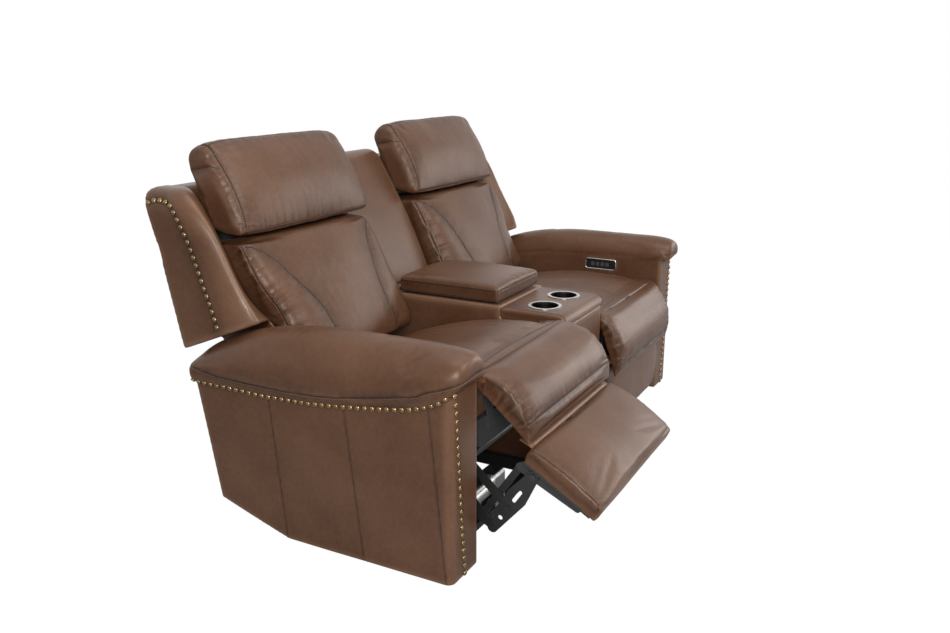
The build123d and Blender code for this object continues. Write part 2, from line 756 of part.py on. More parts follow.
# front pad: hangs on the rod at the front edge of the seat, fuller towards its lower end
half = cos(radians(45))
with BuildPart() as front_pad:
    for place, bulge in ([(seat_in + flap_gap + step, share) for step, share in flap_ends] + [(seat_mid, 1)]
                         + [(seat_out - flap_gap - step, share) for step, share in reversed(flap_ends)]):
        with BuildSketch(Plane.YZ.offset(place)):
            with BuildLine():
                full = flap_end_round + (flap_end_full - flap_end_round) * bulge
                rear_high = flap_point(0, flap_nose)
                nose = flap_point(-flap_nose, 0)
                front_high = flap_point(0, -flap_nose)
                front_low = flap_point(flap_long - full, -full)
                tip = flap_point(flap_long, 0)
                rear_low = flap_point(flap_long - flap_end_round, flap_end_round)
                ThreePointArc(rear_high, flap_point(-half * flap_nose, half * flap_nose), nose)
                ThreePointArc(nose, flap_point(-half * flap_nose, -half * flap_nose), front_high)
                belly = flap_point(flap_long / 2, -flap_face - flap_bulge * bulge)
                ThreePointArc(front_high, belly, front_low)
                ThreePointArc(front_low, flap_point(flap_long - full + half * full, -half * full), tip)
                ThreePointArc(tip, flap_point(flap_long - flap_end_round + half * flap_end_round,
                                              half * flap_end_round), rear_low)
                Line(rear_low, rear_high)
            make_face()
    loft()
    with Locations(on_x(seat_mid, flap_at[0], flap_at[1])):
        Cylinder(flap_rod + run_fit, 2 * (rail_out - seat_mid) + overlap, mode=Mode.SUBTRACT)
    with Locations([(seat_mid + step, flap_at[0], flap_at[1]) for step in (-strap_step, 0, strap_step)]):
        Box(flap_slot, flap_slot_deep * strap_knuckle, flap_slot_high * strap_knuckle, mode=Mode.SUBTRACT)
save_pair(front_pad.part, "front_pad", flap_sweep * near_share, flap_at, near_flap)

# rear crank pair on the torque tube, with pins for the coupler and the control link
with BuildPart() as rear_crank:
    with BuildSketch(Plane.YZ.offset(crank_plane)):
        with Locations(crank_at):
            Circle(crank_end)
        with Locations(crank_foot):
            Circle(crank_tip)
        with Locations(control_at):
            Circle(control_end + 2 * overlap)
        make_hull()
    extrude(amount=link_thick)
    with Locations(on_x(crank_plane + link_thick, *crank_foot)):
        Cylinder(link_washer, link_gap - washer_clear, align=on_base)
        Cylinder(link_pin, link_gap + link_thick + washer_clear, align=on_base)
    with Locations(on_x(coupler_plane + link_thick + washer_clear, *crank_foot)):
        Cylinder(link_head, link_head_thick, align=on_base)
    with Locations(on_x(crank_plane, *control_at)):
        Cylinder(link_washer, link_gap - washer_clear, align=hung)
        Cylinder(link_pin, link_gap + link_thick + washer_clear, align=hung)
    with Locations(on_x(plate_inner - washer_clear, *control_at)):
        Cylinder(link_head, link_head_thick, align=hung)
    mirror(about=mid_plane)
    with Locations(on_x(seat_mid, *crank_at)):
        Cylinder(torque_radius, 2 * (crank_plane + link_thick - seat_mid))
save_pair(rear_crank.part, "rear_crank", crank_sweep * near_share, crank_at, near_slide)

# front crank pair, parallel to the rear one
with BuildPart() as front_crank:
    with BuildSketch(Plane.YZ.offset(crank_plane)):
        with Locations(second_at, second_foot):
            Circle(crank_tip)
        make_hull()
    extrude(amount=link_thick)
    with Locations(on_x(crank_plane + link_thick, *second_foot)):
        Cylinder(link_washer, link_gap - washer_clear, align=on_base)
        Cylinder(link_pin, link_gap + link_thick + washer_clear, align=on_base)
    with Locations(on_x(coupler_plane + link_thick + washer_clear, *second_foot)):
        Cylinder(link_head, link_head_thick, align=on_base)
    with Locations(on_x(crank_plane, *second_at)):
        Cylinder(link_washer, link_gap - washer_clear, align=hung)
        Cylinder(link_pin, link_gap + link_thick + washer_clear, align=hung)
    with Locations(on_x(plate_inner - washer_clear, *second_at)):
        Cylinder(link_head, link_head_thick, align=hung)
    mirror(about=mid_plane)
save_pair(front_crank.part, "front_crank", crank_sweep * near_share, second_at, near_slide)

# coupler plates: wide pressed plates that carry the footrest, with a slot and holes
with BuildPart() as coupler:
    with BuildSketch(Plane.YZ.offset(coupler_plane)):
        with Locations(crank_foot):
            Circle(coupler_tip)
        with Locations(plus(crank_foot, ray(coupler_angle, coupler_long * coupler_belly_at))):
            Circle(coupler_belly)
        with Locations(rest_at):
            Circle(coupler_top)
        make_hull()
        with Locations(crank_foot, second_foot, rest_at):
            Circle(link_pin + run_fit, mode=Mode.SUBTRACT)
        with Locations(plus(crank_foot, ray(coupler_angle, coupler_long * coupler_slot_at))):
            SlotOverall(coupler_slot[0], coupler_slot[1], rotation=coupler_angle, mode=Mode.SUBTRACT)
        with Locations(plus(crank_foot, ray(coupler_angle, coupler_long * coupler_hole_at))):
            Circle(coupler_hole, mode=Mode.SUBTRACT)
    extrude(amount=link_thick)
    mirror(about=mid_plane)
save_pair(coupler.part, "coupler", step=near_link)

# control links, parallel to the couplers
with BuildPart() as control_link:
    with BuildSketch(Plane.YZ.offset(plate_inner)):
        with Locations(control_at, control_top):
            Circle(control_end)
        make_hull()
        with Locations(control_at, control_top):
            Circle(link_pin + run_fit, mode=Mode.SUBTRACT)
    extrude(amount=link_thick)
    mirror(about=mid_plane)
save_pair(control_link.part, "control_link", step=near_control)

# footrest board with its two steel brackets and their pins
board_low = rest_pad_thick + rest_board_thick
with BuildPart() as rest_board:
    with BuildSketch(Plane.YZ.offset(rest_in + rest_board_edge)):
        with BuildLine():
            Polyline(rest_point(rest_board_edge, rest_pad_thick),
                     rest_point(rest_long - rest_board_edge, rest_pad_thick),
                     rest_point(rest_long - rest_board_edge, board_low),
                     rest_point(rest_board_edge, board_low), close=True)
        make_face()
    extrude(amount=2 * (seat_mid - rest_in - rest_board_edge))
    with BuildSketch(Plane.YZ.offset(crank_plane)):
        with Locations(rest_at):
            Circle(crank_tip)
        with Locations(control_top):
            Circle(control_end + overlap)
        with Locations(rest_point(rest_bracket_end, board_low + control_end),
                       rest_point(rest_board_edge + control_end, board_low + overlap)):
            Circle(control_end)
        make_hull()
    extrude(amount=link_thick)
    with Locations(on_x(crank_plane + link_thick, *rest_at)):
        Cylinder(link_washer, link_gap - washer_clear, align=on_base)
        Cylinder(link_pin, link_gap + link_thick + washer_clear, align=on_base)
    with Locations(on_x(coupler_plane + link_thick + washer_clear, *rest_at)):
        Cylinder(link_head, link_head_thick, align=on_base)
    with Locations(on_x(crank_plane, *control_top)):
        Cylinder(link_washer, link_gap - washer_clear, align=hung)
        Cylinder(link_pin, link_gap + link_thick + washer_clear, align=hung)
    with Locations(on_x(plate_inner - washer_clear, *control_top)):
        Cylinder(link_head, link_head_thick, align=hung)
    mirror(about=mid_plane)
save_pair(rest_board.part, "rest_board", crank_sweep * near_share, rest_at, near_link)

# footrest pad: crowned pad on the board
with BuildPart() as rest_pad:
    rest_out = 2 * seat_mid - rest_in
    for place, crown in ((rest_in, 0), (rest_in + seat_edge_band, rest_near_crown), (seat_mid, 1),
                         (rest_out - seat_edge_band, rest_near_crown), (rest_out, 0)):
        with BuildSketch(Plane.YZ.offset(place)):
            with BuildLine():
                face = rest_edge - rest_edge * crown / 2
                side = rest_edge + face / 2
                turn = (rest_edge * rest_turn[0], face * rest_turn[1] + rest_sink)
                low = board_low - rest_sink
                Line(rest_point(0, low), rest_point(0, side))
                ThreePointArc(rest_point(0, side), rest_point(*turn), rest_point(rest_edge, face / 2))
                ThreePointArc(rest_point(rest_edge, face / 2), rest_point(rest_long / 2, -rest_crown * crown),
                              rest_point(rest_long - rest_edge, face / 2))
                ThreePointArc(rest_point(rest_long - rest_edge, face / 2),
                              rest_point(rest_long - turn[0], turn[1]), rest_point(rest_long, side))
                Line(rest_point(rest_long, side), rest_point(rest_long, low))
                Line(rest_point(rest_long, low), rest_point(0, low))
            make_face()
    loft()
    add(rest_board.part, mode=Mode.SUBTRACT)
save_pair(rest_pad.part, "rest_pad", crank_sweep * near_share, rest_at, near_link)

# back frame: two bent posts, cross rails, recline pins and the headrest rod on its arms
with BuildPart() as back_frame:
    with BuildSketch(Plane.YZ.offset(post_out - post_wide)):
        with BuildLine() as post_path:
            Polyline(post_line)
        trace(post_path.line, post_deep)
        with Locations(recline_at):
            Circle(post_deep / 2 + 2 * overlap)
    extrude(amount=post_wide)
    with Locations(on_x(post_out, *recline_at)):
        Cylinder(recline_pin, plate_inner + link_thick - post_out + overlap, align=on_base)
    arm_start = post_line[2]
    with BuildSketch(Plane.YZ.offset(seat_mid + head_arm_step - head_arm_thick / 2)):
        with Locations(head_at, arm_start):
            Circle(head_arm_high / 2)
        make_hull()
    extrude(amount=head_arm_thick)
    mirror(about=mid_plane)
    with Locations(on_x(seat_mid, *head_at)):
        Cylinder(head_rod, 2 * head_arm_step + head_arm_thick)
    for number in cross_rail_at:
        with Locations(Location((seat_mid, post_line[number][0], post_line[number][1]), (back_slope, 0, 0))):
            Box(2 * (post_out - seat_mid) - post_wide, cross_rail_deep, cross_rail_high)

# lower back cushion: crowned face with rolled sides, drawn in at the top and bottom
with BuildPart() as back_cushion:
    for level, front, rear, beside, crown in cushion_line:
        outer = arm_inner + beside
        mid = (cushion_in + outer) / 2
        corner = front + cushion_roll[1]
        shoulder = front - crown * cushion_shoulder
        turn = corner - (corner - shoulder) * half
        with BuildSketch(Plane.XY.offset(level)):
            with BuildLine():
                Line((outer, corner), (outer, rear))
                Line((outer, rear), (cushion_in, rear))
                Line((cushion_in, rear), (cushion_in, corner))
                ThreePointArc((cushion_in, corner), (cushion_in + cushion_roll[0] * (1 - half), turn),
                              (cushion_in + cushion_roll[0], shoulder))
                ThreePointArc((cushion_in + cushion_roll[0], shoulder), (mid, front - crown),
                              (outer - cushion_roll[0], shoulder))
                ThreePointArc((outer - cushion_roll[0], shoulder),
                              (outer - cushion_roll[0] * (1 - half), turn), (outer, corner))
            make_face()
    loft()
    add(back_frame.part, mode=Mode.SUBTRACT)

# outer shell of the back: rear panel and the padded wing above the arm
with BuildPart() as back_shell:
    with BuildSketch(Plane.YZ.offset(shell_in)):
        with BuildLine():
            Polyline(shell_rear + [(y - shell_thick, z) for y, z in reversed(shell_rear)], close=True)
        make_face()
    extrude(amount=shell_low_out - shell_in)
    for level, rear, outer_front, roll, inner_front, beside, drawn in wing_line:
        inner = arm_inner + beside
        outer = wing_out - drawn
        thick = outer - inner
        tip = (outer - wing_roll_share * thick, roll)
        with BuildSketch(Plane.XY.offset(level)):
            with BuildLine():
                Line((inner, inner_front), (inner, rear))
                Line((inner, rear), (outer, rear))
                Line((outer, rear), (outer, outer_front))
                swell = (outer - wing_swell[0] * thick, (outer_front + roll) / 2 - wing_swell[1] * thick)
                ThreePointArc((outer, outer_front), swell, tip)
                ThreePointArc(tip, ((tip[0] + inner) / 2, (roll + inner_front) / 2 - wing_swell[2] * thick),
                              (inner, inner_front))
            make_face()
    loft()
    with BuildSketch(Plane.YZ.offset(shell_low_out)):
        with BuildLine():
            Polyline(wing_cut, close=True)
        make_face()
    extrude(amount=half_width - shell_low_out, mode=Mode.SUBTRACT)
    with BuildSketch(Plane.YZ.offset(shell_low_out - overlap)):
        with BuildLine():
            upper = [shell_upper] + shell_rear[2:]
            Polyline(upper + [(y - shell_thick, z) for y, z in reversed(upper)], close=True)
        make_face()
    extrude(amount=arm_inner + wing_line[-1][5] - shell_low_out + 2 * overlap)
    with BuildSketch(Plane.YZ.offset(shell_in)):
        with BuildLine():
            Polyline(shell_cap, close=True)
        make_face()
    extrude(amount=arm_inner + wing_line[-1][5] - shell_in + 2 * overlap)
    with Locations([(seat_mid + side * (post_out - seat_mid - post_wide / 2), 0, 0) for side in (-1, 1)]):
        bridges = [Location((0, *post_line[n]), (back_slope, 0, 0)) for n in cross_rail_at]
        with Locations(bridges):
            Box(post_wide, bridge_long, post_deep / 2, align=rear_mid)
    with BuildSketch(Plane.YZ.offset(shell_in)):
        with BuildLine():
            Polyline(shell_rear + [(y + bridge_long, z) for y, z in reversed(shell_rear)], close=True)
        make_face()
    extrude(amount=shell_low_out - shell_in, mode=Mode.SUBTRACT)
    add(back_frame.part, mode=Mode.SUBTRACT)
    add(back_cushion.part, mode=Mode.SUBTRACT)
save_pair(back_frame.part, "back_frame", step=near_slide)
save_pair(back_cushion.part, "back_cushion", step=near_slide)
save_pair(back_shell.part, "back_shell", step=near_slide)

# headrest: board with a sleeve on the rod, and the cushion around it
board_foot = (head_rear_low[0], head_rear_low[1] + head_board)
board_head = (head_rear_top[0] - head_board_step[0], head_rear_top[1] - head_board_step[1])
with BuildPart() as head_board_part:
    with Locations(on_x(seat_mid, *head_at)):
        Cylinder(head_sleeve, 2 * head_sleeve_half)
    with BuildSketch(Plane.YZ.offset(seat_mid - head_board_half)):
        with BuildLine():
            Polyline((board_foot[0] - 2 * head_board, board_foot[1]),
                     (board_foot[0] - head_board, board_foot[1]), board_head,
                     (board_head[0] - head_board, board_head[1]), close=True)
        make_face()
    extrude(amount=2 * head_board_half)
    with BuildSketch(Plane.YZ.offset(seat_mid - head_sleeve_half)):
        with BuildLine():
            Polyline((head_at[0], head_at[1]), (board_foot[0] - head_board, board_foot[1]),
                     (board_foot[0] - head_board, board_foot[1] + head_board),
                     (head_at[0], head_at[1] + head_sleeve), close=True)
        make_face()
    extrude(amount=2 * head_sleeve_half)
    with Locations(on_x(seat_mid, *head_at)):
        Cylinder(head_rod + run_fit, 3 * head_sleeve_half, mode=Mode.SUBTRACT)
with BuildPart() as headrest:
    for place, inset in ([(head_in + step, inset) for step, inset in head_ends]
                         + [((head_in + head_out) / 2, 0)]
                         + [(head_out - step, inset) for step, inset in reversed(head_ends)]):
        roll = head_roll - inset * head_draw
        low = (head_at[0] + head_edge, head_at[1] - roll)
        front = (head_at[0] - roll, head_at[1] - head_edge)
        high = (head_front_top[0] + inset, head_front_top[1] - inset / 2)
        rear = (head_rear_top[0] - inset * head_draw, head_rear_top[1] - inset / 2)
        with BuildSketch(Plane.YZ.offset(place)):
            with BuildLine():
                Line(low, head_rear_low)
                Line(head_rear_low, rear)
                ThreePointArc(rear, (head_top[0], head_top[1] - inset), high)
                ThreePointArc(high, (head_front_belly[0] + inset, head_front_belly[1]), front)
                ThreePointArc(front, (head_at[0] - half * roll, head_at[1] - half * roll), low)
            make_face()
    loft()
    add(head_board_part.part, mode=Mode.SUBTRACT)
    with Locations(on_x(seat_mid, *head_at)):
        Cylinder(head_rod + run_fit, 3 * head_sleeve_half, mode=Mode.SUBTRACT)
    front_room, rear_room, low_room, high_room = head_slot_room
    for side in (-1, 1):
        with Locations((seat_mid + side * head_arm_step, head_at[0] - front_room, head_at[1] - low_room)):
            Box(head_slot, front_room + rear_room, low_room + high_room,
                align=rear_base, mode=Mode.SUBTRACT)
save_pair(head_board_part.part, "head_board", step=near_slide)
save_pair(headrest.part, "headrest", step=near_slide)
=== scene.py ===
"""Dresses the reclining loveseat: leather skins, seams, stitches, nail heads, steel and the studio."""
import math

import bmesh
import bpy
import numpy as np
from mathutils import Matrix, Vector, noise
from mathutils.bvhtree import BVHTree
from mathutils.kdtree import KDTree


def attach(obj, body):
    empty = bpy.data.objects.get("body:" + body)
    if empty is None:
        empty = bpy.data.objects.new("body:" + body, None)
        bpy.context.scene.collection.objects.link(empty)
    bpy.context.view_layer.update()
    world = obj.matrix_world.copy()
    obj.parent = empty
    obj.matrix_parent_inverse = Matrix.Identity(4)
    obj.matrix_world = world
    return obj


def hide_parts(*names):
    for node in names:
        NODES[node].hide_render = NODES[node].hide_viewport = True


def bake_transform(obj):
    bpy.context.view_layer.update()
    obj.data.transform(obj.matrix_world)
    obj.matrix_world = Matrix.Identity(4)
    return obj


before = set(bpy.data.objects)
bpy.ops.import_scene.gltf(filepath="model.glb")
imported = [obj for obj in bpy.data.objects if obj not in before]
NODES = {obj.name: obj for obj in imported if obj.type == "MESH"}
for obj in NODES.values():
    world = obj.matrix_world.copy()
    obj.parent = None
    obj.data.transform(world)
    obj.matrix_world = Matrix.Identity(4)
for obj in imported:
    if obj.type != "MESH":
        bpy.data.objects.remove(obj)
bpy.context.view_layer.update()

bl_info = {
    "name": "Reclining loveseat",
    "version": (1, 0, 0),
    "blender": (4, 5, 0),
    "location": "View3D > Sidebar > Loveseat",
    "description": "Leather, stitching, nail heads and steel of a two seat recliner",
    "category": "Object",
}

MM = 0.001
SIDES = ("l", "r")

# places shared with the solids, in millimetres, far seat closed
ARM_INNER = 797
ARM_OUTER = 940
ARM_FRONT = -400
SEAT_IN = 180
SEAT_OUT = 790
SEAT_MID = 485
TILT_AT = (100, 300)
FLAP_AT = (-365, 466)
FLAP_LONG = 224
FLAP_SLOPE = 69.5
FLAP_NOSE = 12
FLAP_FACE = 16
FLAP_BULGE = 32
FLAP_TIP = 12
FLAP_FULLER = 6
FLAP_GAP = 2
FLAP_ENDS = [(0, 0.45), (30, 0.8), (120, 0.97)]
FLAP_OPEN_BULGE = 48
FLAP_OPEN_ENDS = [(0, 0.62), (14, 0.85), (60, 0.98)]
CRANK_AT = (-248, 242)
CRANK_LONG = 190
CRANK_ANGLE = 282.5
CRANK_SWEEP = 96.8
COUPLER_LONG = 209
COUPLER_ANGLE = 124
REST_PIN = (50.4, 83.7)
REST_SLOPE = 91
REST_IN = 182
REST_FULLER = 12
COVER_GRID = (122, 46)
COVER_BACK = 72
COVER_OVER = 60
COVER_FROM = 130
SLIDE = 68
TILT_SWEEP = 14.5
FLAP_SWEEP = 47
NEAR_SHARE = 0.62
HEAD_AT = (403, 868)
HEAD_ROLL = 26
HEAD_IN = 188
HEAD_OUT = 824
HEAD_FRONT_TOP = (474, 1082)
HEAD_BELLY = (414, 980)
HEAD_TOP = (528, 1124)
HEAD_REAR_TOP = (588, 1048)
HEAD_REAR_LOW = (524, 860)
HEAD_ENDS = [(0, 24), (30, 9), (90, 2), (190, 0)]
HEAD_CROWN = 15
HALF = math.cos(math.radians(45))
CUSHION_IN = 187
# height, front corner, outer edge and crown of the back cushion
CUSHION_LINE = [(470, 226, 782, 40), (498, 230, 788, 50), (640, 300, 790, 54), (720, 340, 819, 48),
                (800, 381, 823, 32), (832, 400, 820, 18)]
WING_OUT = 925
SWITCH_BOX = ((-207, 499), (-74, 541))
SWITCH_ROUND = 9
SWITCH_RIM = 2.2
SWITCH_FACE = 795
ARM_NAILS = [(462, 444), (340, 440), (184, 438), (40, 444), (-72, 455), (-200, 472), (-300, 491),
             (-388, 528)]
FRONT_NAILS = [(918, 534), (910, 460), (902, 360), (895, 286), (884, 150), (871, 20)]
WING_NAILS = [(413, 610), (423, 644), (441, 693), (460, 743), (478, 788), (496, 836), (516, 883),
              (539, 927), (555, 946), (575, 956), (598, 960), (620, 958), (642, 949)]
ARM_SEAMS = [((184, 436), (143, 14)), ((-72, 452), (-122, 14)), ((-335, 494), (-382, 14))]
PAD_SEAM = [(470, 486), (330, 474), (174, 473), (40, 478), (-97, 491), (-200, 508), (-294, 531),
            (-360, 556)]
# how strongly the leather's tone follows its form: painted shade in hollows, seam grooves and gathers,
# painted highlight on crowns and the open face, and random clouds
BEND_SHADE_HIGHLIGHT = 0.3
GROOVE_SHADE = 0.16
GATHER_SHADE = 0.25
FACE_HIGHLIGHT = 0.04
TONE_CLOUD = 0.1
CLOUD_SIZE = 0.24


def ray(angle, reach):
    """Step in the side view, angle from +Y towards +Z."""
    return (reach * math.cos(math.radians(angle)), reach * math.sin(math.radians(angle)))


def plus(a, b):
    """Sum of two side view points."""
    return (a[0] + b[0], a[1] + b[1])


def swing(point, centre, angle):
    """Side view point turned so that the front comes up."""
    y, z = point[0] - centre[0], point[1] - centre[1]
    c, s = math.cos(math.radians(angle)), math.sin(math.radians(angle))
    return (centre[0] + y * c + z * s, centre[1] - y * s + z * c)


def slope_point(start, slope, along, depth):
    """Point along a pad that slopes down to the front, depth counted from its face."""
    c, s = math.cos(math.radians(slope)), math.sin(math.radians(slope))
    return (start[0] - along * c + depth * s, start[1] - along * s - depth * c)


CRANK_FOOT = plus(CRANK_AT, ray(CRANK_ANGLE, CRANK_LONG))
REST_AT = plus(CRANK_FOOT, ray(COUPLER_ANGLE, COUPLER_LONG))
REST_CORNER = slope_point(REST_AT, REST_SLOPE, -REST_PIN[0], -REST_PIN[1])
NEAR_STEP = (-SLIDE * NEAR_SHARE, 0)
NEAR_FOOT = plus(CRANK_AT, ray(CRANK_ANGLE - CRANK_SWEEP * NEAR_SHARE, CRANK_LONG))
NEAR_LINK = (NEAR_FOOT[0] - CRANK_FOOT[0] + NEAR_STEP[0], NEAR_FOOT[1] - CRANK_FOOT[1])
NEAR_HINGE = swing(FLAP_AT, TILT_AT, TILT_SWEEP * NEAR_SHARE)
NEAR_FLAP = (NEAR_HINGE[0] - FLAP_AT[0] + NEAR_STEP[0], NEAR_HINGE[1] - FLAP_AT[1])
# how the near seat's pieces have moved from the mirror image of the far ones
NEAR_MOVES = {
    "seat": (TILT_SWEEP * NEAR_SHARE, TILT_AT, NEAR_STEP),
    "flap": (FLAP_SWEEP * NEAR_SHARE, FLAP_AT, NEAR_FLAP),
    "footrest": (CRANK_SWEEP * NEAR_SHARE, REST_AT, NEAR_LINK),
    "back": (0, (0, 0), NEAR_STEP),
    "head": (0, (0, 0), NEAR_STEP),
    "coupler": (0, (0, 0), NEAR_LINK),
    "base": (0, (0, 0), (0, 0)),
}


def flap_point(along, depth):
    """Front pad point of the closed seat."""
    return slope_point(FLAP_AT, FLAP_SLOPE, along, depth)


def rest_point(along, depth):
    """Footrest point of the closed seat."""
    return slope_point(REST_CORNER, REST_SLOPE, along, depth)


def at_rest(points, body, side):
    """Far seat points in metres, carried to where that body is in the photograph."""
    points = np.array(points, float)
    if side == "r":
        return points
    angle, centre, step = NEAR_MOVES[body]
    c, s = math.cos(math.radians(angle)), math.sin(math.radians(angle))
    y, z = points[:, 1] - centre[0] * MM, points[:, 2] - centre[1] * MM
    return np.stack([-points[:, 0],
                     centre[0] * MM + y * c + z * s + step[0] * MM,
                     centre[1] * MM - y * s + z * c + step[1] * MM], axis=1)


def arc(a, b, c, count):
    """Points of the circle arc from a through b to c in a plane."""
    a, b, c = (np.array(p, float) for p in (a, b, c))
    d = 2 * ((b - a)[0] * (c - a)[1] - (b - a)[1] * (c - a)[0])
    if abs(d) < 1e-6:
        return [tuple(a + (c - a) * t) for t in np.linspace(0, 1, count)]
    u, v = b - a, c - a
    centre = a + np.array([v[1] * u.dot(u) - u[1] * v.dot(v), u[0] * v.dot(v) - v[0] * u.dot(u)]) / d
    start, mid, end = (math.atan2(*(p - centre)[::-1]) for p in (a, b, c))
    turn = (end - start) % (2 * math.pi)
    if (mid - start) % (2 * math.pi) > turn:
        turn -= 2 * math.pi
    reach = np.linalg.norm(a - centre)
    return [(centre[0] + reach * math.cos(start + turn * t), centre[1] + reach * math.sin(start + turn * t))
            for t in np.linspace(0, 1, count)]


def curve(points, step=4):
    """Smooth line through points in millimetres, in even steps, given in metres."""
    pts = np.array(points, float)
    ext = np.vstack([2 * pts[0] - pts[1], pts, 2 * pts[-1] - pts[-2]])
    fine = []
    for i in range(len(pts) - 1):
        p0, p1, p2, p3 = ext[i:i + 4]
        for t in np.linspace(0, 1, 24, endpoint=False):
            fine.append(0.5 * (2 * p1 + (p2 - p0) * t + (2 * p0 - 5 * p1 + 4 * p2 - p3) * t * t
                               + (3 * p1 - p0 - 3 * p2 + p3) * t ** 3))
    fine.append(pts[-1])
    fine = np.array(fine)
    gone = np.concatenate([[0], np.cumsum(np.linalg.norm(np.diff(fine, axis=0), axis=1))])
    count = max(2, int(gone[-1] / step) + 1)
    even = np.linspace(0, gone[-1], count)
    return np.stack([np.interp(even, gone, fine[:, k]) for k in range(3)], axis=1) * MM


def show(name, mesh):
    """New object with this mesh, linked at the origin."""
    made = bpy.data.objects.new(name, mesh)
    bpy.context.scene.collection.objects.link(made)
    return made


def mesh_of(points, faces, name="form"):
    """Mesh from points and faces."""
    mesh = bpy.data.meshes.new(name)
    mesh.from_pydata([tuple(p) for p in points], [], [tuple(int(i) for i in f) for f in faces])
    mesh.update()
    return mesh


def solid_copy(node):
    """Merged copy of a solid's mesh."""
    work = bmesh.new()
    work.from_mesh(NODES[node].data)
    bmesh.ops.remove_doubles(work, verts=work.verts, dist=1e-5)
    mesh = bpy.data.meshes.new("form")
    work.to_mesh(mesh)
    work.free()
    mesh.materials.clear()
    return mesh


def joined(*meshes):
    """One mesh with the shells of several."""
    work = bmesh.new()
    for mesh in meshes:
        work.from_mesh(mesh)
    mesh = bpy.data.meshes.new("form")
    work.to_mesh(mesh)
    work.free()
    return mesh


def face_outwards(mesh):
    """Turns every face of a closed form outwards."""
    work = bmesh.new()
    work.from_mesh(mesh)
    bmesh.ops.recalc_face_normals(work, faces=work.faces)
    work.to_mesh(mesh)
    work.free()


def lofted(sections):
    """Closed form through like loops of points, in millimetres."""
    count = len(sections[0])
    points = np.array([p for loop in sections for p in loop], float) * MM
    faces = [tuple(range(count))[::-1]]
    for k in range(len(sections) - 1):
        for i in range(count):
            j = (i + 1) % count
            faces.append((k * count + i, k * count + j, (k + 1) * count + j, (k + 1) * count + i))
    faces.append(tuple(range((len(sections) - 1) * count, len(sections) * count)))
    mesh = mesh_of(points, faces)
    face_outwards(mesh)
    return mesh


def ends_of(first, last, ends, middle):
    """Places across a cushion with their shares: like at both ends, full in the middle."""
    return ([(first + step, share) for step, share in ends] + [((first + last) / 2, middle)]
            + [(last - step, share) for step, share in reversed(ends)])


def evaluated(made):
    """Plain mesh of an object with its modifiers applied; the object is removed."""
    graph = bpy.context.evaluated_depsgraph_get()
    mesh = bpy.data.meshes.new_from_object(made.evaluated_get(graph))
    bpy.data.objects.remove(made)
    return mesh


def voxels(mesh, size):
    """Even quads over a closed form."""
    made = show("voxel_form", mesh)
    grid = made.modifiers.new("Voxels", "REMESH")
    grid.mode = "VOXEL"
    grid.voxel_size = size
    return evaluated(made)


def doubled(mesh):
    """The mesh after one smooth subdivision."""
    made = show("smooth_form", mesh)
    made.modifiers.new("Smooth", "SUBSURF").levels = 1
    return evaluated(made)


def read(mesh):
    """Points and edges of a mesh as arrays."""
    points = np.zeros(len(mesh.vertices) * 3)
    mesh.vertices.foreach_get("co", points)
    edges = np.zeros(len(mesh.edges) * 2, np.int64)
    mesh.edges.foreach_get("vertices", edges)
    return points.reshape(-1, 3), edges.reshape(-1, 2)


def normals(mesh):
    """Point normals as an array."""
    out = np.zeros(len(mesh.vertices) * 3)
    mesh.vertex_normals.foreach_get("vector", out)
    return out.reshape(-1, 3)


def put(mesh, points):
    """Writes points back to a mesh."""
    mesh.vertices.foreach_set("co", points.ravel())
    mesh.update()


def relaxed(values, edges, rounds, share=0.5):
    """Values evened out over neighbouring points."""
    values = np.array(values, float)
    flat = values.reshape(len(values), -1)
    count = np.bincount(edges.ravel(), minlength=len(flat)).clip(1)
    for _ in range(rounds):
        for k in range(flat.shape[1]):
            column = flat[:, k]
            total = (np.bincount(edges[:, 0], column[edges[:, 1]], len(flat))
                     + np.bincount(edges[:, 1], column[edges[:, 0]], len(flat)))
            flat[:, k] = column + share * (total / count - column)
    return flat.reshape(values.shape)


def waves(points, size, seed):
    """Smooth noise at points, about -1 to 1."""
    shift = Vector((seed * 7.31, seed * 3.17, seed * 5.71))
    return np.array([noise.noise(Vector(p) / size + shift) for p in points])


def gathers(run, seed):
    """Uneven folds along a sewn line, about -1 to 1."""
    step = np.linspace(0, run.max() + 1, 2000)
    fold = [1.5 * noise.noise(Vector((2.0 * t, seed * 1.7, 0.3)))
            + 0.8 * noise.noise(Vector((5.1 * t, seed * 2.3, 4.1))) for t in step]
    return np.interp(run, step, fold)


def near_line(points, lines):
    """Distance from points to the nearest line and the run along it."""
    tree = KDTree(sum(len(line) for line in lines))
    runs = []
    for line in lines:
        gone = np.concatenate([[0], np.cumsum(np.linalg.norm(np.diff(line, axis=0), axis=1))])
        for p, g in zip(line, gone):
            tree.insert(p, len(runs))
            runs.append(g)
    tree.balance()
    found = [tree.find(p) for p in points]
    return np.array([f[2] for f in found]), np.array([runs[f[1]] for f in found])


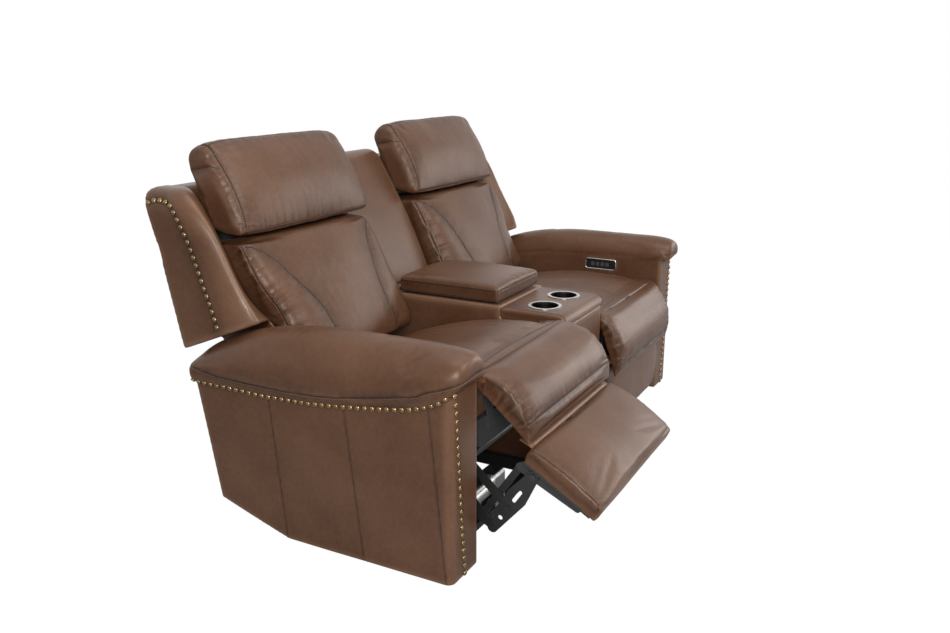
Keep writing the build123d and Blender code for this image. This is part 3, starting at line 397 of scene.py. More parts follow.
def swollen(mesh, held, cap, pressure, frames=20):
    """Points of a closed skin after air pressure has filled it out, no point moved further than its cap."""
    start, _ = read(mesh)
    made = show("swelling", mesh.copy())
    group = made.vertex_groups.new(name="held")
    group.add([int(i) for i in np.nonzero(held)[0]], 1.0, "REPLACE")
    cloth = made.modifiers.new("Cloth", "CLOTH")
    rule = cloth.settings
    rule.quality = 4
    rule.mass = 0.3
    rule.tension_stiffness = 12
    rule.compression_stiffness = 12
    rule.shear_stiffness = 4
    rule.bending_stiffness = 0.4
    rule.use_pressure = True
    rule.uniform_pressure_force = pressure
    rule.effector_weights.gravity = 0
    rule.vertex_group_mass = "held"
    cloth.point_cache.frame_start = 1
    cloth.point_cache.frame_end = frames
    scene = bpy.context.scene
    for number in range(1, frames + 1):
        scene.frame_set(number)
    end, _ = read(evaluated(made))
    scene.frame_set(1)
    step = end - start
    far = np.linalg.norm(step, axis=1)
    limit = np.minimum(1, cap / far.clip(1e-9))
    return start + step * limit[:, None]


class Seam:
    """A sewn line: its path, groove, gathers and rows of thread."""

    # shadow_lined: whether a thin dark line is laid along the seam as its groove's painted shadow
    def __init__(self, path, deep=2.2, wide=3.0, pucker=1.2, reach=30, pitch=34, rows=(), hold=True,
                 shadow_lined=True):
        self.path = path
        self.deep = deep * MM
        self.wide = wide * MM
        self.pucker = pucker * MM
        self.reach = reach * MM
        self.pitch = pitch * MM
        self.rows = rows
        self.hold = hold
        self.shadow_lined = shadow_lined


def padded_form(mesh, voxel, seams, cap, pressure, inset=3.0, rounds=2):
    """Skin of a cushion in the far seat's place: even mesh, filled out between its seams."""
    mesh = voxels(mesh, voxel * MM)
    points, edges = read(mesh)
    put(mesh, relaxed(points, edges, rounds))
    points = read(mesh)[0] - normals(mesh) * inset * MM
    put(mesh, points)
    held = np.zeros(len(points), bool)
    lines = [s.path for s in seams if s.hold]
    if lines:
        held = near_line(points, lines)[0] < voxel * MM * 1.1
    limit = cap(points, normals(mesh)) * MM
    moved = swollen(mesh, held, limit, pressure)
    put(mesh, relaxed(moved, edges, 1, 0.4))
    return doubled(mesh)


def plain_form(mesh, voxel, rounds=2):
    """Skin of a firm leather covered panel."""
    mesh = voxels(mesh, voxel * MM)
    points, edges = read(mesh)
    put(mesh, relaxed(points, edges, rounds))
    return mesh


STITCHES = {}
SEAM_SHADOWS = {}
SKINS = {}


def surface(mesh):
    """Search tree over a mesh's faces."""
    return BVHTree.FromPolygons([tuple(p) for p in read(mesh)[0]], [tuple(f.vertices) for f in mesh.polygons])


def paint(mesh, tone):
    """Keeps the leather's tone with the mesh, and gives it the leather."""
    layer = mesh.attributes.new("tone", "FLOAT", "POINT")
    layer.data.foreach_set("value", tone.astype(np.float32))
    mesh.shade_smooth()
    mesh.materials.clear()
    mesh.materials.append(material_leather())


def lay_seam(points, mesh_tree):
    """Line drawn onto a surface, with the surface's normals."""
    spots = [mesh_tree.find_nearest(Vector(p)) for p in points]
    return np.array([s[0] for s in spots]), np.array([s[1] for s in spots])


def dress(name, mesh, node, body, side, seams, seed, lump=1.2, lump_size=0.11, crease=0.0):
    """Places a skin on its body with its seams pressed in, and names its stitch rows."""
    mesh = mesh.copy()
    points, edges = read(mesh)
    full_body = body if body in ("base", "lid") else body + "_" + side
    part = "base" if body in ("base", "lid") else body
    put(mesh, at_rest(points, part, side))
    if side == "l":
        mesh.flip_normals()
        mesh.update()
    points, edges = read(mesh)
    out = normals(mesh)
    tree = surface(mesh)
    lift = lump * MM * waves(points, lump_size, seed)
    if crease:
        lift += crease * MM * waves(points * np.array([1.0, 0.28, 0.6]), 0.035, seed + 3) ** 2
    dark = np.zeros(len(points))
    open_face = np.ones(len(points))
    laid = []
    for seam in seams:
        path, up = lay_seam(at_rest(seam.path, part, side), tree)
        laid.append((seam, path, up))
        far, run = near_line(points, [path])
        wave = gathers(run / seam.pitch, seed)
        lift -= seam.deep * np.exp(-(far / seam.wide) ** 2)
        beside = 1 - np.exp(-(far / (2.2 * seam.wide)) ** 2)
        lift += seam.pucker * wave * np.exp(-far / seam.reach) * beside
        # painted shade: the tone darkens along each seam's groove
        dark = np.maximum(dark, np.exp(-far / (0.8 * seam.wide)))
        # open_face falls near puckered seams: it marks where painted shade goes into the gathers
        open_face = np.minimum(open_face, 1 - min(1, seam.pucker / MM) * np.exp(-far / 0.032))
    points = points + out * lift[:, None]
    put(mesh, points)
    out = normals(mesh)
    # painted shade and highlight: the tone darkens where the skin bends inwards into a hollow and lightens
    # where it bows out
    bend = ((relaxed(points, edges, 4, 1.0) - points) * out).sum(axis=1)
    bend = relaxed(bend, edges, 3, 0.6) / MM
    tone = 0.5 - BEND_SHADE_HIGHLIGHT * np.clip(bend, -1, 1) - GROOVE_SHADE * dark
    # painted highlight on the open face, painted shade in the gathers beside the seams
    tone += FACE_HIGHLIGHT * open_face - GATHER_SHADE * (1 - open_face)
    paint(mesh, np.clip(tone + TONE_CLOUD * waves(points, CLOUD_SIZE, seed + 9), 0, 1))
    made = show(name, mesh)
    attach(made, full_body)
    if node:
        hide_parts(*node)
    tree = SKINS[name] = surface(mesh)
    for seam, path, up in laid:
        # painted shade: a thin dark line runs along each such seam in place of its groove's shadow
        if seam.shadow_lined:
            spots, rise = lay_seam(path, tree)
            SEAM_SHADOWS.setdefault(full_body, []).append((spots + rise * 0.1 * MM, rise))
        for row in seam.rows:
            along = np.gradient(path, axis=0)
            along /= np.linalg.norm(along, axis=1)[:, None].clip(1e-9)
            beside = np.cross(along, up)
            spots, rise = lay_seam(path + beside * row * MM, tree)
            STITCHES.setdefault(full_body, []).append((spots + rise * 0.2 * MM, rise))
    return made


def group_socket(tree, name, kind, way, value=None):
    """Named socket on a node group."""
    made = tree.interface.new_socket(name=name, socket_type=kind, in_out=way)
    if value is not None:
        made.default_value = value
    return made


def add(tree, kind, values=(), **settings):
    """New node with its settings and the values of its inputs."""
    node = tree.nodes.new(kind)
    for name, value in settings.items():
        setattr(node, name, value)
    for name, value in dict(values).items():
        node.inputs[name].default_value = value
    return node


def wire(tree, *lines):
    """Links outputs to inputs, each given as node, output, node, input."""
    for start, out, end, into in lines:
        tree.links.new(start.outputs[out], end.inputs[into])


def leather_grain_group():
    """Pebbled grain with fine pores, as a height."""
    name = "Leather grain"
    if name in bpy.data.node_groups:
        return bpy.data.node_groups[name]
    tree = bpy.data.node_groups.new(name, "ShaderNodeTree")
    group_socket(tree, "Pebble size", "NodeSocketFloat", "INPUT", 380.0)
    group_socket(tree, "Height", "NodeSocketFloat", "OUTPUT")
    start, end = add(tree, "NodeGroupInput"), add(tree, "NodeGroupOutput")
    place = add(tree, "ShaderNodeTexCoord")
    wander = add(tree, "ShaderNodeTexNoise", {"Scale": 60})
    bent = add(tree, "ShaderNodeMix", data_type="VECTOR")
    bent.inputs["Factor"].default_value = 0.006
    pebble = add(tree, "ShaderNodeTexVoronoi", feature="SMOOTH_F1")
    pebble.inputs["Smoothness"].default_value = 0.5
    pores = add(tree, "ShaderNodeTexNoise", {"Scale": 1500, "Detail": 2})
    fine = add(tree, "ShaderNodeMath", {1: 0.35}, operation="MULTIPLY_ADD")
    wire(tree, (place, "Object", wander, "Vector"), (place, "Object", bent, "A"),
         (wander, "Color", bent, "B"), (bent, "Result", pebble, "Vector"),
         (start, "Pebble size", pebble, "Scale"), (place, "Object", pores, "Vector"),
         (pores, "Fac", fine, 0), (pebble, "Distance", fine, 2), (fine, "Value", end, "Height"))
    return tree


def leather_tone_group():
    """Two-tone colour from the tone attribute, which carries painted shade in the hollows and painted
    highlight on crowns and open faces, with random clouds and specks.
    """
    name = "Leather tone"
    if name in bpy.data.node_groups:
        return bpy.data.node_groups[name]
    tree = bpy.data.node_groups.new(name, "ShaderNodeTree")
    group_socket(tree, "Color", "NodeSocketColor", "OUTPUT")
    group_socket(tree, "Roughness", "NodeSocketFloat", "OUTPUT")
    end = add(tree, "NodeGroupOutput")
    place = add(tree, "ShaderNodeTexCoord")
    # the tone attribute holds painted shade and highlight as well as random clouds
    painted_tone = add(tree, "ShaderNodeAttribute", attribute_name="tone")
    cloud = add(tree, "ShaderNodeTexNoise", {"Scale": 5.5, "Detail": 5, "Roughness": 0.6})
    speck = add(tree, "ShaderNodeTexNoise", {"Scale": 70, "Detail": 3})
    first = add(tree, "ShaderNodeMath", {1: 0.42}, operation="MULTIPLY_ADD")
    second = add(tree, "ShaderNodeMath", {1: 0.22}, operation="MULTIPLY_ADD")
    level = add(tree, "ShaderNodeMath", {1: 0.32}, operation="SUBTRACT")
    ramp = add(tree, "ShaderNodeValToRGB")
    fill_ramp(ramp, [(0.0, (0.018, 0.0062, 0.0027)), (0.3, (0.052, 0.0205, 0.0094)),
                     (0.52, (0.094, 0.0415, 0.0214)), (0.75, (0.134, 0.0660, 0.0366)),
                     (1.0, (0.182, 0.100, 0.061))])
    shine = add(tree, "ShaderNodeMapRange", {"To Min": 0.42, "To Max": 0.29})
    wire(tree, (place, "Object", cloud, "Vector"), (place, "Object", speck, "Vector"),
         (cloud, "Fac", first, 0), (painted_tone, "Fac", first, 2), (speck, "Fac", second, 0),
         (first, "Value", second, 2), (second, "Value", level, 0), (level, "Value", ramp, "Fac"),
         (level, "Value", shine, "Value"), (ramp, "Color", end, "Color"),
         (shine, "Result", end, "Roughness"))
    return tree


def fill_ramp(ramp, stops):
    """Sets the stops of a colour ramp."""
    parts = ramp.color_ramp.elements
    while len(parts) < len(stops):
        parts.new(0.5)
    for part, (place, colour) in zip(parts, stops):
        part.position = place
        part.color = (*colour, 1)


def new_material(name):
    """Fresh node material; gives the material, its tree, and its Principled shader."""
    made = bpy.data.materials.new(name)
    made.use_nodes = True
    return made, made.node_tree, made.node_tree.nodes["Principled BSDF"]


def bump(tree, shader, height, strength, distance):
    """Bump from a height socket."""
    node = add(tree, "ShaderNodeBump", {"Strength": strength, "Distance": distance})
    tree.links.new(height, node.inputs["Height"])
    wire(tree, (node, "Normal", shader, "Normal"))


def material_leather():
    """Brown pull-up leather."""
    name = "brown_leather"
    if name in bpy.data.materials:
        return bpy.data.materials[name]
    made, tree, shader = new_material(name)
    tone = add(tree, "ShaderNodeGroup", node_tree=leather_tone_group())
    grain = add(tree, "ShaderNodeGroup", node_tree=leather_grain_group())
    wire(tree, (tone, "Color", shader, "Base Color"), (tone, "Roughness", shader, "Roughness"))
    shader.inputs["Specular IOR Level"].default_value = 0.36
    shader.inputs["Specular Tint"].default_value = (1.0, 0.90, 0.80, 1.0)
    bump(tree, shader, grain.outputs["Height"], 0.35, 0.0007)
    return made


def speckled(name, dark, light, scale, rough, metallic=0.0, stretch=(1, 1, 1), grain=0.0003,
             strength=0.25):
    """Material whose colour and gloss vary with a noise, with a bump of the same grain."""
    if name in bpy.data.materials:
        return bpy.data.materials[name]
    made, tree, shader = new_material(name)
    place = add(tree, "ShaderNodeTexCoord")
    turn = add(tree, "ShaderNodeMapping", {"Scale": stretch})
    spots = add(tree, "ShaderNodeTexNoise", {"Scale": scale, "Detail": 4})
    ramp = add(tree, "ShaderNodeValToRGB")
    fill_ramp(ramp, [(0.3, dark), (0.7, light)])
    gloss = add(tree, "ShaderNodeMapRange", {"To Min": rough[0], "To Max": rough[1]})
    wire(tree, (place, "Object", turn, "Vector"), (turn, "Vector", spots, "Vector"),
         (spots, "Fac", ramp, "Fac"), (spots, "Fac", gloss, "Value"),
         (ramp, "Color", shader, "Base Color"), (gloss, "Result", shader, "Roughness"))
    shader.inputs["Metallic"].default_value = metallic
    bump(tree, shader, spots.outputs["Fac"], strength, grain)
    return made


def material_black_steel():
    """Black powder coated steel."""
    return speckled("coated_steel", (0.006, 0.006, 0.007), (0.018, 0.018, 0.02), 420, (0.34, 0.5), 0.0)


def material_lining():
    """Dark woven lining."""
    return speckled("dark_lining", (0.018, 0.018, 0.019), (0.04, 0.04, 0.042), 900, (0.85, 0.95),
                    grain=0.0006)


def material_can():
    """Zinc plated motor can."""
    return speckled("motor_can", (0.42, 0.42, 0.41), (0.6, 0.6, 0.58), 260, (0.24, 0.38), 1.0, (0.1, 1, 1))


def shaded_down(name, low, high, dark, light, rough):
    """Metal with painted shade: dark below one height and bright above another, both in metres."""
    if name in bpy.data.materials:
        return bpy.data.materials[name]
    made = speckled(name, dark, light, 240, rough, 1.0, (0.25, 0.25, 6))
    tree = made.node_tree
    shader = tree.nodes["Principled BSDF"]
    place = add(tree, "ShaderNodeTexCoord")
    axes = add(tree, "ShaderNodeSeparateXYZ")
    # painted shade: the colour darkens from the rim down into the cup
    depth = add(tree, "ShaderNodeMapRange", {"From Min": low, "From Max": high})
    ramp = add(tree, "ShaderNodeValToRGB")
    fill_ramp(ramp, [(0.0, dark), (0.9, tuple(2.2 * c for c in dark)), (1.0, light)])
    wire(tree, (place, "Object", axes, "Vector"), (axes, "Z", depth, "Value"),
         (depth, "Result", ramp, "Fac"), (ramp, "Color", shader, "Base Color"))
    return made


def material_cup():
    """Brushed steel cup with painted shade inside, darker towards the bottom, and its own bright steel at the
    rim.
    """
    return shaded_down("cup_metal", 0.488, 0.5605, (0.045, 0.043, 0.040), (0.55, 0.53, 0.50), (0.2, 0.32))


def material_nail():
    """Antique brass nail head, speckled dark and light."""
    return speckled("nail_brass", (0.11, 0.068, 0.028), (0.38, 0.27, 0.135), 300, (0.16, 0.3), 1.0)


def material_thread():
    """Tan sewing thread."""
    return speckled("tan_thread", (0.20, 0.118, 0.07), (0.30, 0.185, 0.115), 1200, (0.6, 0.75))


def row_tree(name, along):
    """Geometry nodes that repeat a domed head or stitch along lines; along turns it with the line."""
    if name in bpy.data.node_groups:
        return bpy.data.node_groups[name]
    tree = bpy.data.node_groups.new(name, "GeometryNodeTree")
    group_socket(tree, "Lines", "NodeSocketGeometry", "INPUT")
    group_socket(tree, "Pitch", "NodeSocketFloat", "INPUT", 0.007)
    group_socket(tree, "Half width", "NodeSocketFloat", "INPUT", 0.0006)
    group_socket(tree, "Half length", "NodeSocketFloat", "INPUT", 0.0026)
    group_socket(tree, "Segments", "NodeSocketInt", "INPUT", 6)
    group_socket(tree, "Rings", "NodeSocketInt", "INPUT", 4)
    group_socket(tree, "Finish", "NodeSocketMaterial", "INPUT")
    group_socket(tree, "Rows", "NodeSocketGeometry", "OUTPUT")
    start, end = add(tree, "NodeGroupInput"), add(tree, "NodeGroupOutput")
    line = add(tree, "GeometryNodeMeshToCurve")
    spots = add(tree, "GeometryNodeCurveToPoints", mode="LENGTH")
    facing = add(tree, "FunctionNodeAlignRotationToVector", axis="Z")
    ball = add(tree, "GeometryNodeMeshUVSphere", {"Radius": 1.0})
    shape = add(tree, "ShaderNodeCombineXYZ")
    place = add(tree, "GeometryNodeInstanceOnPoints")
    real = add(tree, "GeometryNodeRealizeInstances")
    finish = add(tree, "GeometryNodeSetMaterial")
    if along:
        wire(tree, (spots, "Tangent", facing, "Vector"))
    else:
        up = add(tree, "GeometryNodeInputNamedAttribute", data_type="FLOAT_VECTOR")
        up.inputs["Name"].default_value = "out"
        wire(tree, (up, "Attribute", facing, "Vector"))
    wire(tree, (start, "Lines", line, "Mesh"), (line, "Curve", spots, "Curve"),
         (start, "Pitch", spots, "Length"), (start, "Segments", ball, "Segments"),
         (start, "Rings", ball, "Rings"), (start, "Half width", shape, "X"),
         (start, "Half width", shape, "Y"), (start, "Half length", shape, "Z"),
         (spots, "Points", place, "Points"), (ball, "Mesh", place, "Instance"),
         (facing, "Rotation", place, "Rotation"), (shape, "Vector", place, "Scale"),
         (place, "Instances", real, "Geometry"), (real, "Geometry", finish, "Geometry"),
         (start, "Finish", finish, "Material"), (finish, "Geometry", end, "Rows"))
    return tree


def seam_shadow_tree():
    """Geometry nodes that run a thin round tube along lines, used as the painted shadow line of a seam's
    groove.
    """
    name = "Seam cords"
    if name in bpy.data.node_groups:
        return bpy.data.node_groups[name]
    tree = bpy.data.node_groups.new(name, "GeometryNodeTree")
    group_socket(tree, "Lines", "NodeSocketGeometry", "INPUT")
    group_socket(tree, "Radius", "NodeSocketFloat", "INPUT", 0.0008)
    group_socket(tree, "Finish", "NodeSocketMaterial", "INPUT")
    group_socket(tree, "Shadow lines", "NodeSocketGeometry", "OUTPUT")
    start, end = add(tree, "NodeGroupInput"), add(tree, "NodeGroupOutput")
    line = add(tree, "GeometryNodeMeshToCurve")
    ring = add(tree, "GeometryNodeCurvePrimitiveCircle", {"Resolution": 6})
    tube = add(tree, "GeometryNodeCurveToMesh")
    finish = add(tree, "GeometryNodeSetMaterial")
    wire(tree, (start, "Lines", line, "Mesh"), (start, "Radius", ring, "Radius"),
         (line, "Curve", tube, "Curve"), (ring, "Curve", tube, "Profile Curve"),
         (tube, "Mesh", finish, "Geometry"), (start, "Finish", finish, "Material"),
         (finish, "Geometry", end, "Shadow lines"))
    return tree


def rows_along(name, lines, tree, values, finish):
    """Plain mesh of the heads or stitches repeated along lines of points and normals."""
    mesh = bpy.data.meshes.new(name)
    points, edges, ups = [], [], []
    for path, up in lines:
        edges += [(len(points) + i, len(points) + i + 1) for i in range(len(path) - 1)]
        points += [tuple(p) for p in path]
        ups += [tuple(u) for u in up]
    mesh.from_pydata(points, edges, [])
    layer = mesh.attributes.new("out", "FLOAT_VECTOR", "POINT")
    layer.data.foreach_set("vector", np.array(ups, np.float32).ravel())
    guide = show(name + "_guide", mesh)
    rule = guide.modifiers.new("Rows", "NODES")
    rule.node_group = tree
    for item in tree.interface.items_tree:
        if item.name in values:
            rule[item.identifier] = values[item.name]
        if item.name == "Finish":
            rule[item.identifier] = finish
    out = evaluated(guide)
    if not out.vertices:
        raise RuntimeError(name + ": no rows were made")
    out.materials.clear()
    out.materials.append(finish)
    out.shade_smooth()
    return show(name, out)


class LeatherSettings(bpy.types.PropertyGroup):
    """Sizes of the leather work."""
    voxel: bpy.props.FloatProperty(
        name="Voxel", description="Cushion mesh size in millimetres", default=10.0, min=4.0)
    panel: bpy.props.FloatProperty(
        name="Panel", description="Panel mesh size in millimetres", default=4.5, min=3.0)
    pressure: bpy.props.FloatProperty(
        name="Pressure", description="Air pressure that fills the cushions", default=4.0)
    # radius of the thin dark line painted along each seam as its groove's shadow
    seam_shadow_radius: bpy.props.FloatProperty(
        name="Seam radius", description="Half the width of a seam line", default=0.0009, unit="LENGTH")
    stitch: bpy.props.FloatProperty(
        name="Stitch pitch", description="Distance between stitches", default=0.0075, unit="LENGTH")


class NailSettings(bpy.types.PropertyGroup):
    """Sizes of the nail heads."""
    pitch: bpy.props.FloatProperty(
        name="Pitch", description="Distance between nail heads", default=0.0228, unit="LENGTH")
    radius: bpy.props.FloatProperty(
        name="Radius", description="Radius of a nail head", default=0.0084, unit="LENGTH")
    rise: bpy.props.FloatProperty(
        name="Rise", description="Height of a nail head", default=0.0048, unit="LENGTH")


class StudioSettings(bpy.types.PropertyGroup):
    """Level of the studio light."""
    key: bpy.props.FloatProperty(
        name="Key light", description="Power of the light to the right", default=76.0, unit="POWER")
    top: bpy.props.FloatProperty(
        name="Top light", description="Power of the top light", default=30.0, unit="POWER")
    side: bpy.props.FloatProperty(
        name="Side light", description="Power of the side light", default=122.0, unit="POWER")
    high: bpy.props.FloatProperty(
        name="High light", description="Power of the light high in front", default=64.0, unit="POWER")
    sky: bpy.props.FloatProperty(
        name="Sky", description="Strength of the even light all round", default=0.2)


def firm(points, out):
    """Cap on swelling: small at sides and bottoms, larger on the top and front."""
    face = np.clip(np.maximum(out[:, 2], -out[:, 1]), 0, 1)
    return 3.5 + 5.0 * face


def plump(points, out):
    """Cap on swelling of a soft cushion: large on the face."""
    face = np.clip(np.maximum(0.7 * out[:, 2], -out[:, 1]), 0, 1)
    return 4.0 + 15.0 * face ** 1.5


def even_cap(points, out):
    """The same small cap on swelling everywhere."""
    return np.full(len(points), 3.5)


class LOVESEAT_OT_arms(bpy.types.Operator):
    """Leather of both arms: flat panel below, soft pad above, in one skin"""
    bl_idname = "loveseat.arms"
    bl_label = "Arms"

    def execute(self, context):
        rule = context.scene.loveseat_leather
        seams = [Seam(curve([(ARM_OUTER, *top), (ARM_OUTER, *low)]), 1.5, 2.2, 0.2, 20, 60)
                 for top, low in ARM_SEAMS]
        line = [(ARM_OUTER + 4, y, z) for y, z in PAD_SEAM]
        line += [(ARM_OUTER - 4, ARM_FRONT - 18, 574), (ARM_OUTER - 40, ARM_FRONT - 34, 584),
                 (ARM_OUTER - 100, ARM_FRONT - 34, 586), (ARM_INNER + 4, ARM_FRONT - 10, 582)]
        pad_seam = Seam(curve(line), 2.2, 2.8, 0.8, 26, 55, rows=(4.0,))
        pad = padded_form(solid_copy("arm_pad_r"), rule.voxel * 0.8, [pad_seam], firm, rule.pressure, 2.0)
        form = plain_form(joined(pad, solid_copy("arm_panel_r")), rule.panel, 2)
        for number, side in enumerate(SIDES):
            dress("arm_leather_" + side, form, ["arm_panel_" + side, "arm_pad_" + side], "base", side,
                  seams + [pad_seam], number + 1, 0.7, 0.2)
        return {"FINISHED"}


class LOVESEAT_OT_seats(bpy.types.Operator):
    """Leather of both seat cushions"""
    bl_idname = "loveseat.seats"
    bl_label = "Seats"

    def execute(self, context):
        rule = context.scene.loveseat_leather
        form = padded_form(solid_copy("seat_cushion_r"), rule.voxel, [], firm, rule.pressure, 3.0, 3)
        for number, side in enumerate(SIDES):
            dress("seat_leather_" + side, form, ["seat_cushion_" + side], "seat", side, [], number + 5,
                  2.2, 0.13, 2.4)
        return {"FINISHED"}


def front_pad_form(bulge, ends):
    """Front pad without the notches for its hinge straps."""
    loops = []
    nose, tip, long = FLAP_NOSE, FLAP_TIP, FLAP_LONG + FLAP_FULLER
    for place, share in ends_of(SEAT_IN + FLAP_GAP, SEAT_OUT - FLAP_GAP, ends, 1):
        loop = arc(flap_point(0, nose), flap_point(-HALF * nose, HALF * nose), flap_point(-nose, 0), 6)[:-1]
        loop += arc(flap_point(-nose, 0), flap_point(-HALF * nose, -HALF * nose), flap_point(0, -nose),
                    6)[:-1]
        loop += arc(flap_point(0, -nose), flap_point(FLAP_LONG / 2, -FLAP_FACE - bulge * share),
                    flap_point(long, 0), 30)[:-1]
        loop += arc(flap_point(long, 0), flap_point(long - tip + HALF * tip, HALF * tip),
                    flap_point(long - tip, tip), 6)
        loops.append([(place, y, z) for y, z in loop])
    return lofted(loops)


def flap_face(along, place, bulge, ends):
    """Point on the front pad's face, at a distance along it and a place across the seat."""
    inner = min(place - SEAT_IN - FLAP_GAP, SEAT_OUT - FLAP_GAP - place)
    share = float(np.interp(inner, [row[0] for row in ends] + [300], [row[1] for row in ends] + [1]))
    bow = 1 - (2 * along / FLAP_LONG - 1) ** 2
    return (place, *flap_point(along, -FLAP_NOSE - (FLAP_FACE - FLAP_NOSE + bulge * share) * bow))


class LOVESEAT_OT_front_pads(bpy.types.Operator):
    """Leather of both front pads, gathered at their sides and fuller on the open seat"""
    bl_idname = "loveseat.front_pads"
    bl_label = "Front pads"

    def execute(self, context):
        rule = context.scene.loveseat_leather
        places = np.linspace(SEAT_IN + 5, SEAT_OUT - 5, 15)
        for number, side, bulge, ends in ((0, "l", FLAP_OPEN_BULGE, FLAP_OPEN_ENDS),
                                          (1, "r", FLAP_BULGE, FLAP_ENDS)):
            low_line = curve([flap_face(FLAP_LONG - 34, x, bulge, ends) for x in places])
            seams = [Seam(low_line, 1.8, 2.4, 1.4, 26, 60, rows=(-4.0,))]
            for place in (SEAT_IN + 4, SEAT_OUT - 4):
                path = curve([flap_face(a, place, bulge, ends) for a in (6, 60, 120, 180, 206)])
                seams.append(Seam(path, 1.0, 6.0, 4.2, 26, 30, hold=False, shadow_lined=False))
            form = padded_form(front_pad_form(bulge, ends), rule.voxel * 0.55, seams, firm,
                               rule.pressure, 1.0, 1)
            dress("front_pad_leather_" + side, form, ["front_pad_" + side], "flap", side, seams,
                  number + 7, 1.4, 0.1, 0.8)
        return {"FINISHED"}


def hinge_cover(side):
    """Leather stretched from a seat's front edge over the hinge onto the pad: mesh, middle and turn."""
    opened = NEAR_SHARE if side == "l" else 0
    middle = plus(NEAR_HINGE, NEAR_STEP) if side == "l" else FLAP_AT
    upright = 90 - TILT_SWEEP * opened
    last = 90 + FLAP_SLOPE - FLAP_SWEEP * opened + COVER_OVER
    lines = [(ray(upright - 90, COVER_BACK * (1 - t)), upright)
             for t in np.linspace(0, 1, 16, endpoint=False)]
    lines += [((0, 0), turn) for turn in np.linspace(upright, last, COVER_GRID[1] - 16)]
    across = np.linspace(SEAT_IN + 4, SEAT_OUT - 4, COVER_GRID[0]) * (-1 if side == "l" else 1)
    trees = [SKINS[name + side] for name in ("seat_leather_", "front_pad_leather_")]
    reach = np.zeros(COVER_GRID)
    for i, place in enumerate(across):
        for j, (foot, turn) in enumerate(lines):
            way = Vector((0, *ray(turn, 1)))
            start = Vector((place, *plus(middle, foot))) * MM + way * COVER_FROM * MM
            hits = [tree.ray_cast(start, -way, COVER_FROM * MM) for tree in trees]
            reach[i, j] = max([COVER_FROM * MM - hit[3] for hit in hits if hit[0]] or [FLAP_NOSE * MM])
    taut = reach.copy()
    for _ in range(80):
        even = taut.copy()
        even[:, 1:-1] = 0.25 * taut[:, :-2] + 0.5 * taut[:, 1:-1] + 0.25 * taut[:, 2:]
        even[1:-1] = 0.25 * even[:-2] + 0.5 * even[1:-1] + 0.25 * even[2:]
        taut = np.maximum(reach, even)
    along = np.minimum(np.linspace(0, 1, COVER_GRID[1]), np.linspace(1, 0, COVER_GRID[1]))
    beside = np.minimum(np.linspace(0, 1, COVER_GRID[0]), np.linspace(1, 0, COVER_GRID[0]))
    share = np.minimum(np.clip(along / 0.2, 0, 1)[None, :], np.clip(beside / 0.02, 0, 1)[:, None])
    share = share * share * (3 - 2 * share)
    taut = reach + (taut - reach) * share + (-1.4 + 2.4 * share) * MM
    points = []
    for place, row in zip(across, taut):
        for r, (foot, turn) in zip(row, lines):
            y, z = plus(plus(middle, foot), ray(turn, r / MM))
            points.append((place * MM, y * MM, z * MM))
    wide = COVER_GRID[1]
    faces = [(i * wide + j, (i + 1) * wide + j, (i + 1) * wide + j + 1, i * wide + j + 1)
             for i in range(COVER_GRID[0] - 1) for j in range(wide - 1)]
    if side == "l":
        faces = [face[::-1] for face in faces]
    return mesh_of(points, faces), middle, (upright - 90 + last) / 2 + 90


class LOVESEAT_OT_hinge_covers(bpy.types.Operator):
    """Leather that runs from each seat over the hinge onto the front pad, with the seam along it"""
    bl_idname = "loveseat.hinge_covers"
    bl_label = "Hinge covers"

    def execute(self, context):
        for number, side in enumerate(SIDES):
            mesh, middle, turn = hinge_cover(side)
            points, edges = read(mesh)
            grid = points.reshape(COVER_GRID[0], COVER_GRID[1], 3)
            spread = np.linspace(-1, 1, COVER_GRID[0])
            row = 0.33 - 0.10 * (1 - spread ** 2)
            path = np.array([column[int(r * COVER_GRID[1])] * (1 - r * COVER_GRID[1] % 1)
                             + column[int(r * COVER_GRID[1]) + 1] * (r * COVER_GRID[1] % 1)
                             for column, r in zip(grid, row)])
            out = normals(mesh)
            far, run = near_line(points, [path])
            lift = -1.2 * MM * np.exp(-(far / 0.003) ** 2)
            beside = 1 - np.exp(-(far / 0.006) ** 2)
            lift += 1.0 * MM * gathers(run / 0.05, number + 2) * np.exp(-far / 0.02) * beside
            put(mesh, points + out * lift[:, None])
            # painted shade: the tone darkens along the seam's groove
            paint(mesh, 0.5 - GROOVE_SHADE * np.exp(-far / 0.0024)
                  + TONE_CLOUD * waves(points, CLOUD_SIZE, number + 14))
            made = show("hinge_cover_" + side, mesh)
            # painted shade: a thin dark line along the seam stands in for its groove's shadow
            spots, rise = lay_seam(path, surface(mesh))
            SEAM_SHADOWS.setdefault("seat_" + side, []).append((spots + rise * 0.1 * MM, rise))
            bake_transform(made)
        return {"FINISHED"}


def tuck_form():
    """Leather that runs from the footrest's top edge up behind the front pad."""
    outline = [(8, 15), (-4, 15.5), (-16, 17), (-34, 21), (-35, 23), (-16, 20), (-4, 19), (8, 21)]
    return lofted([[(place, *rest_point(a, d)) for a, d in outline]
                   for place in np.linspace(REST_IN + 22, 2 * SEAT_MID - REST_IN - 22, 24)])


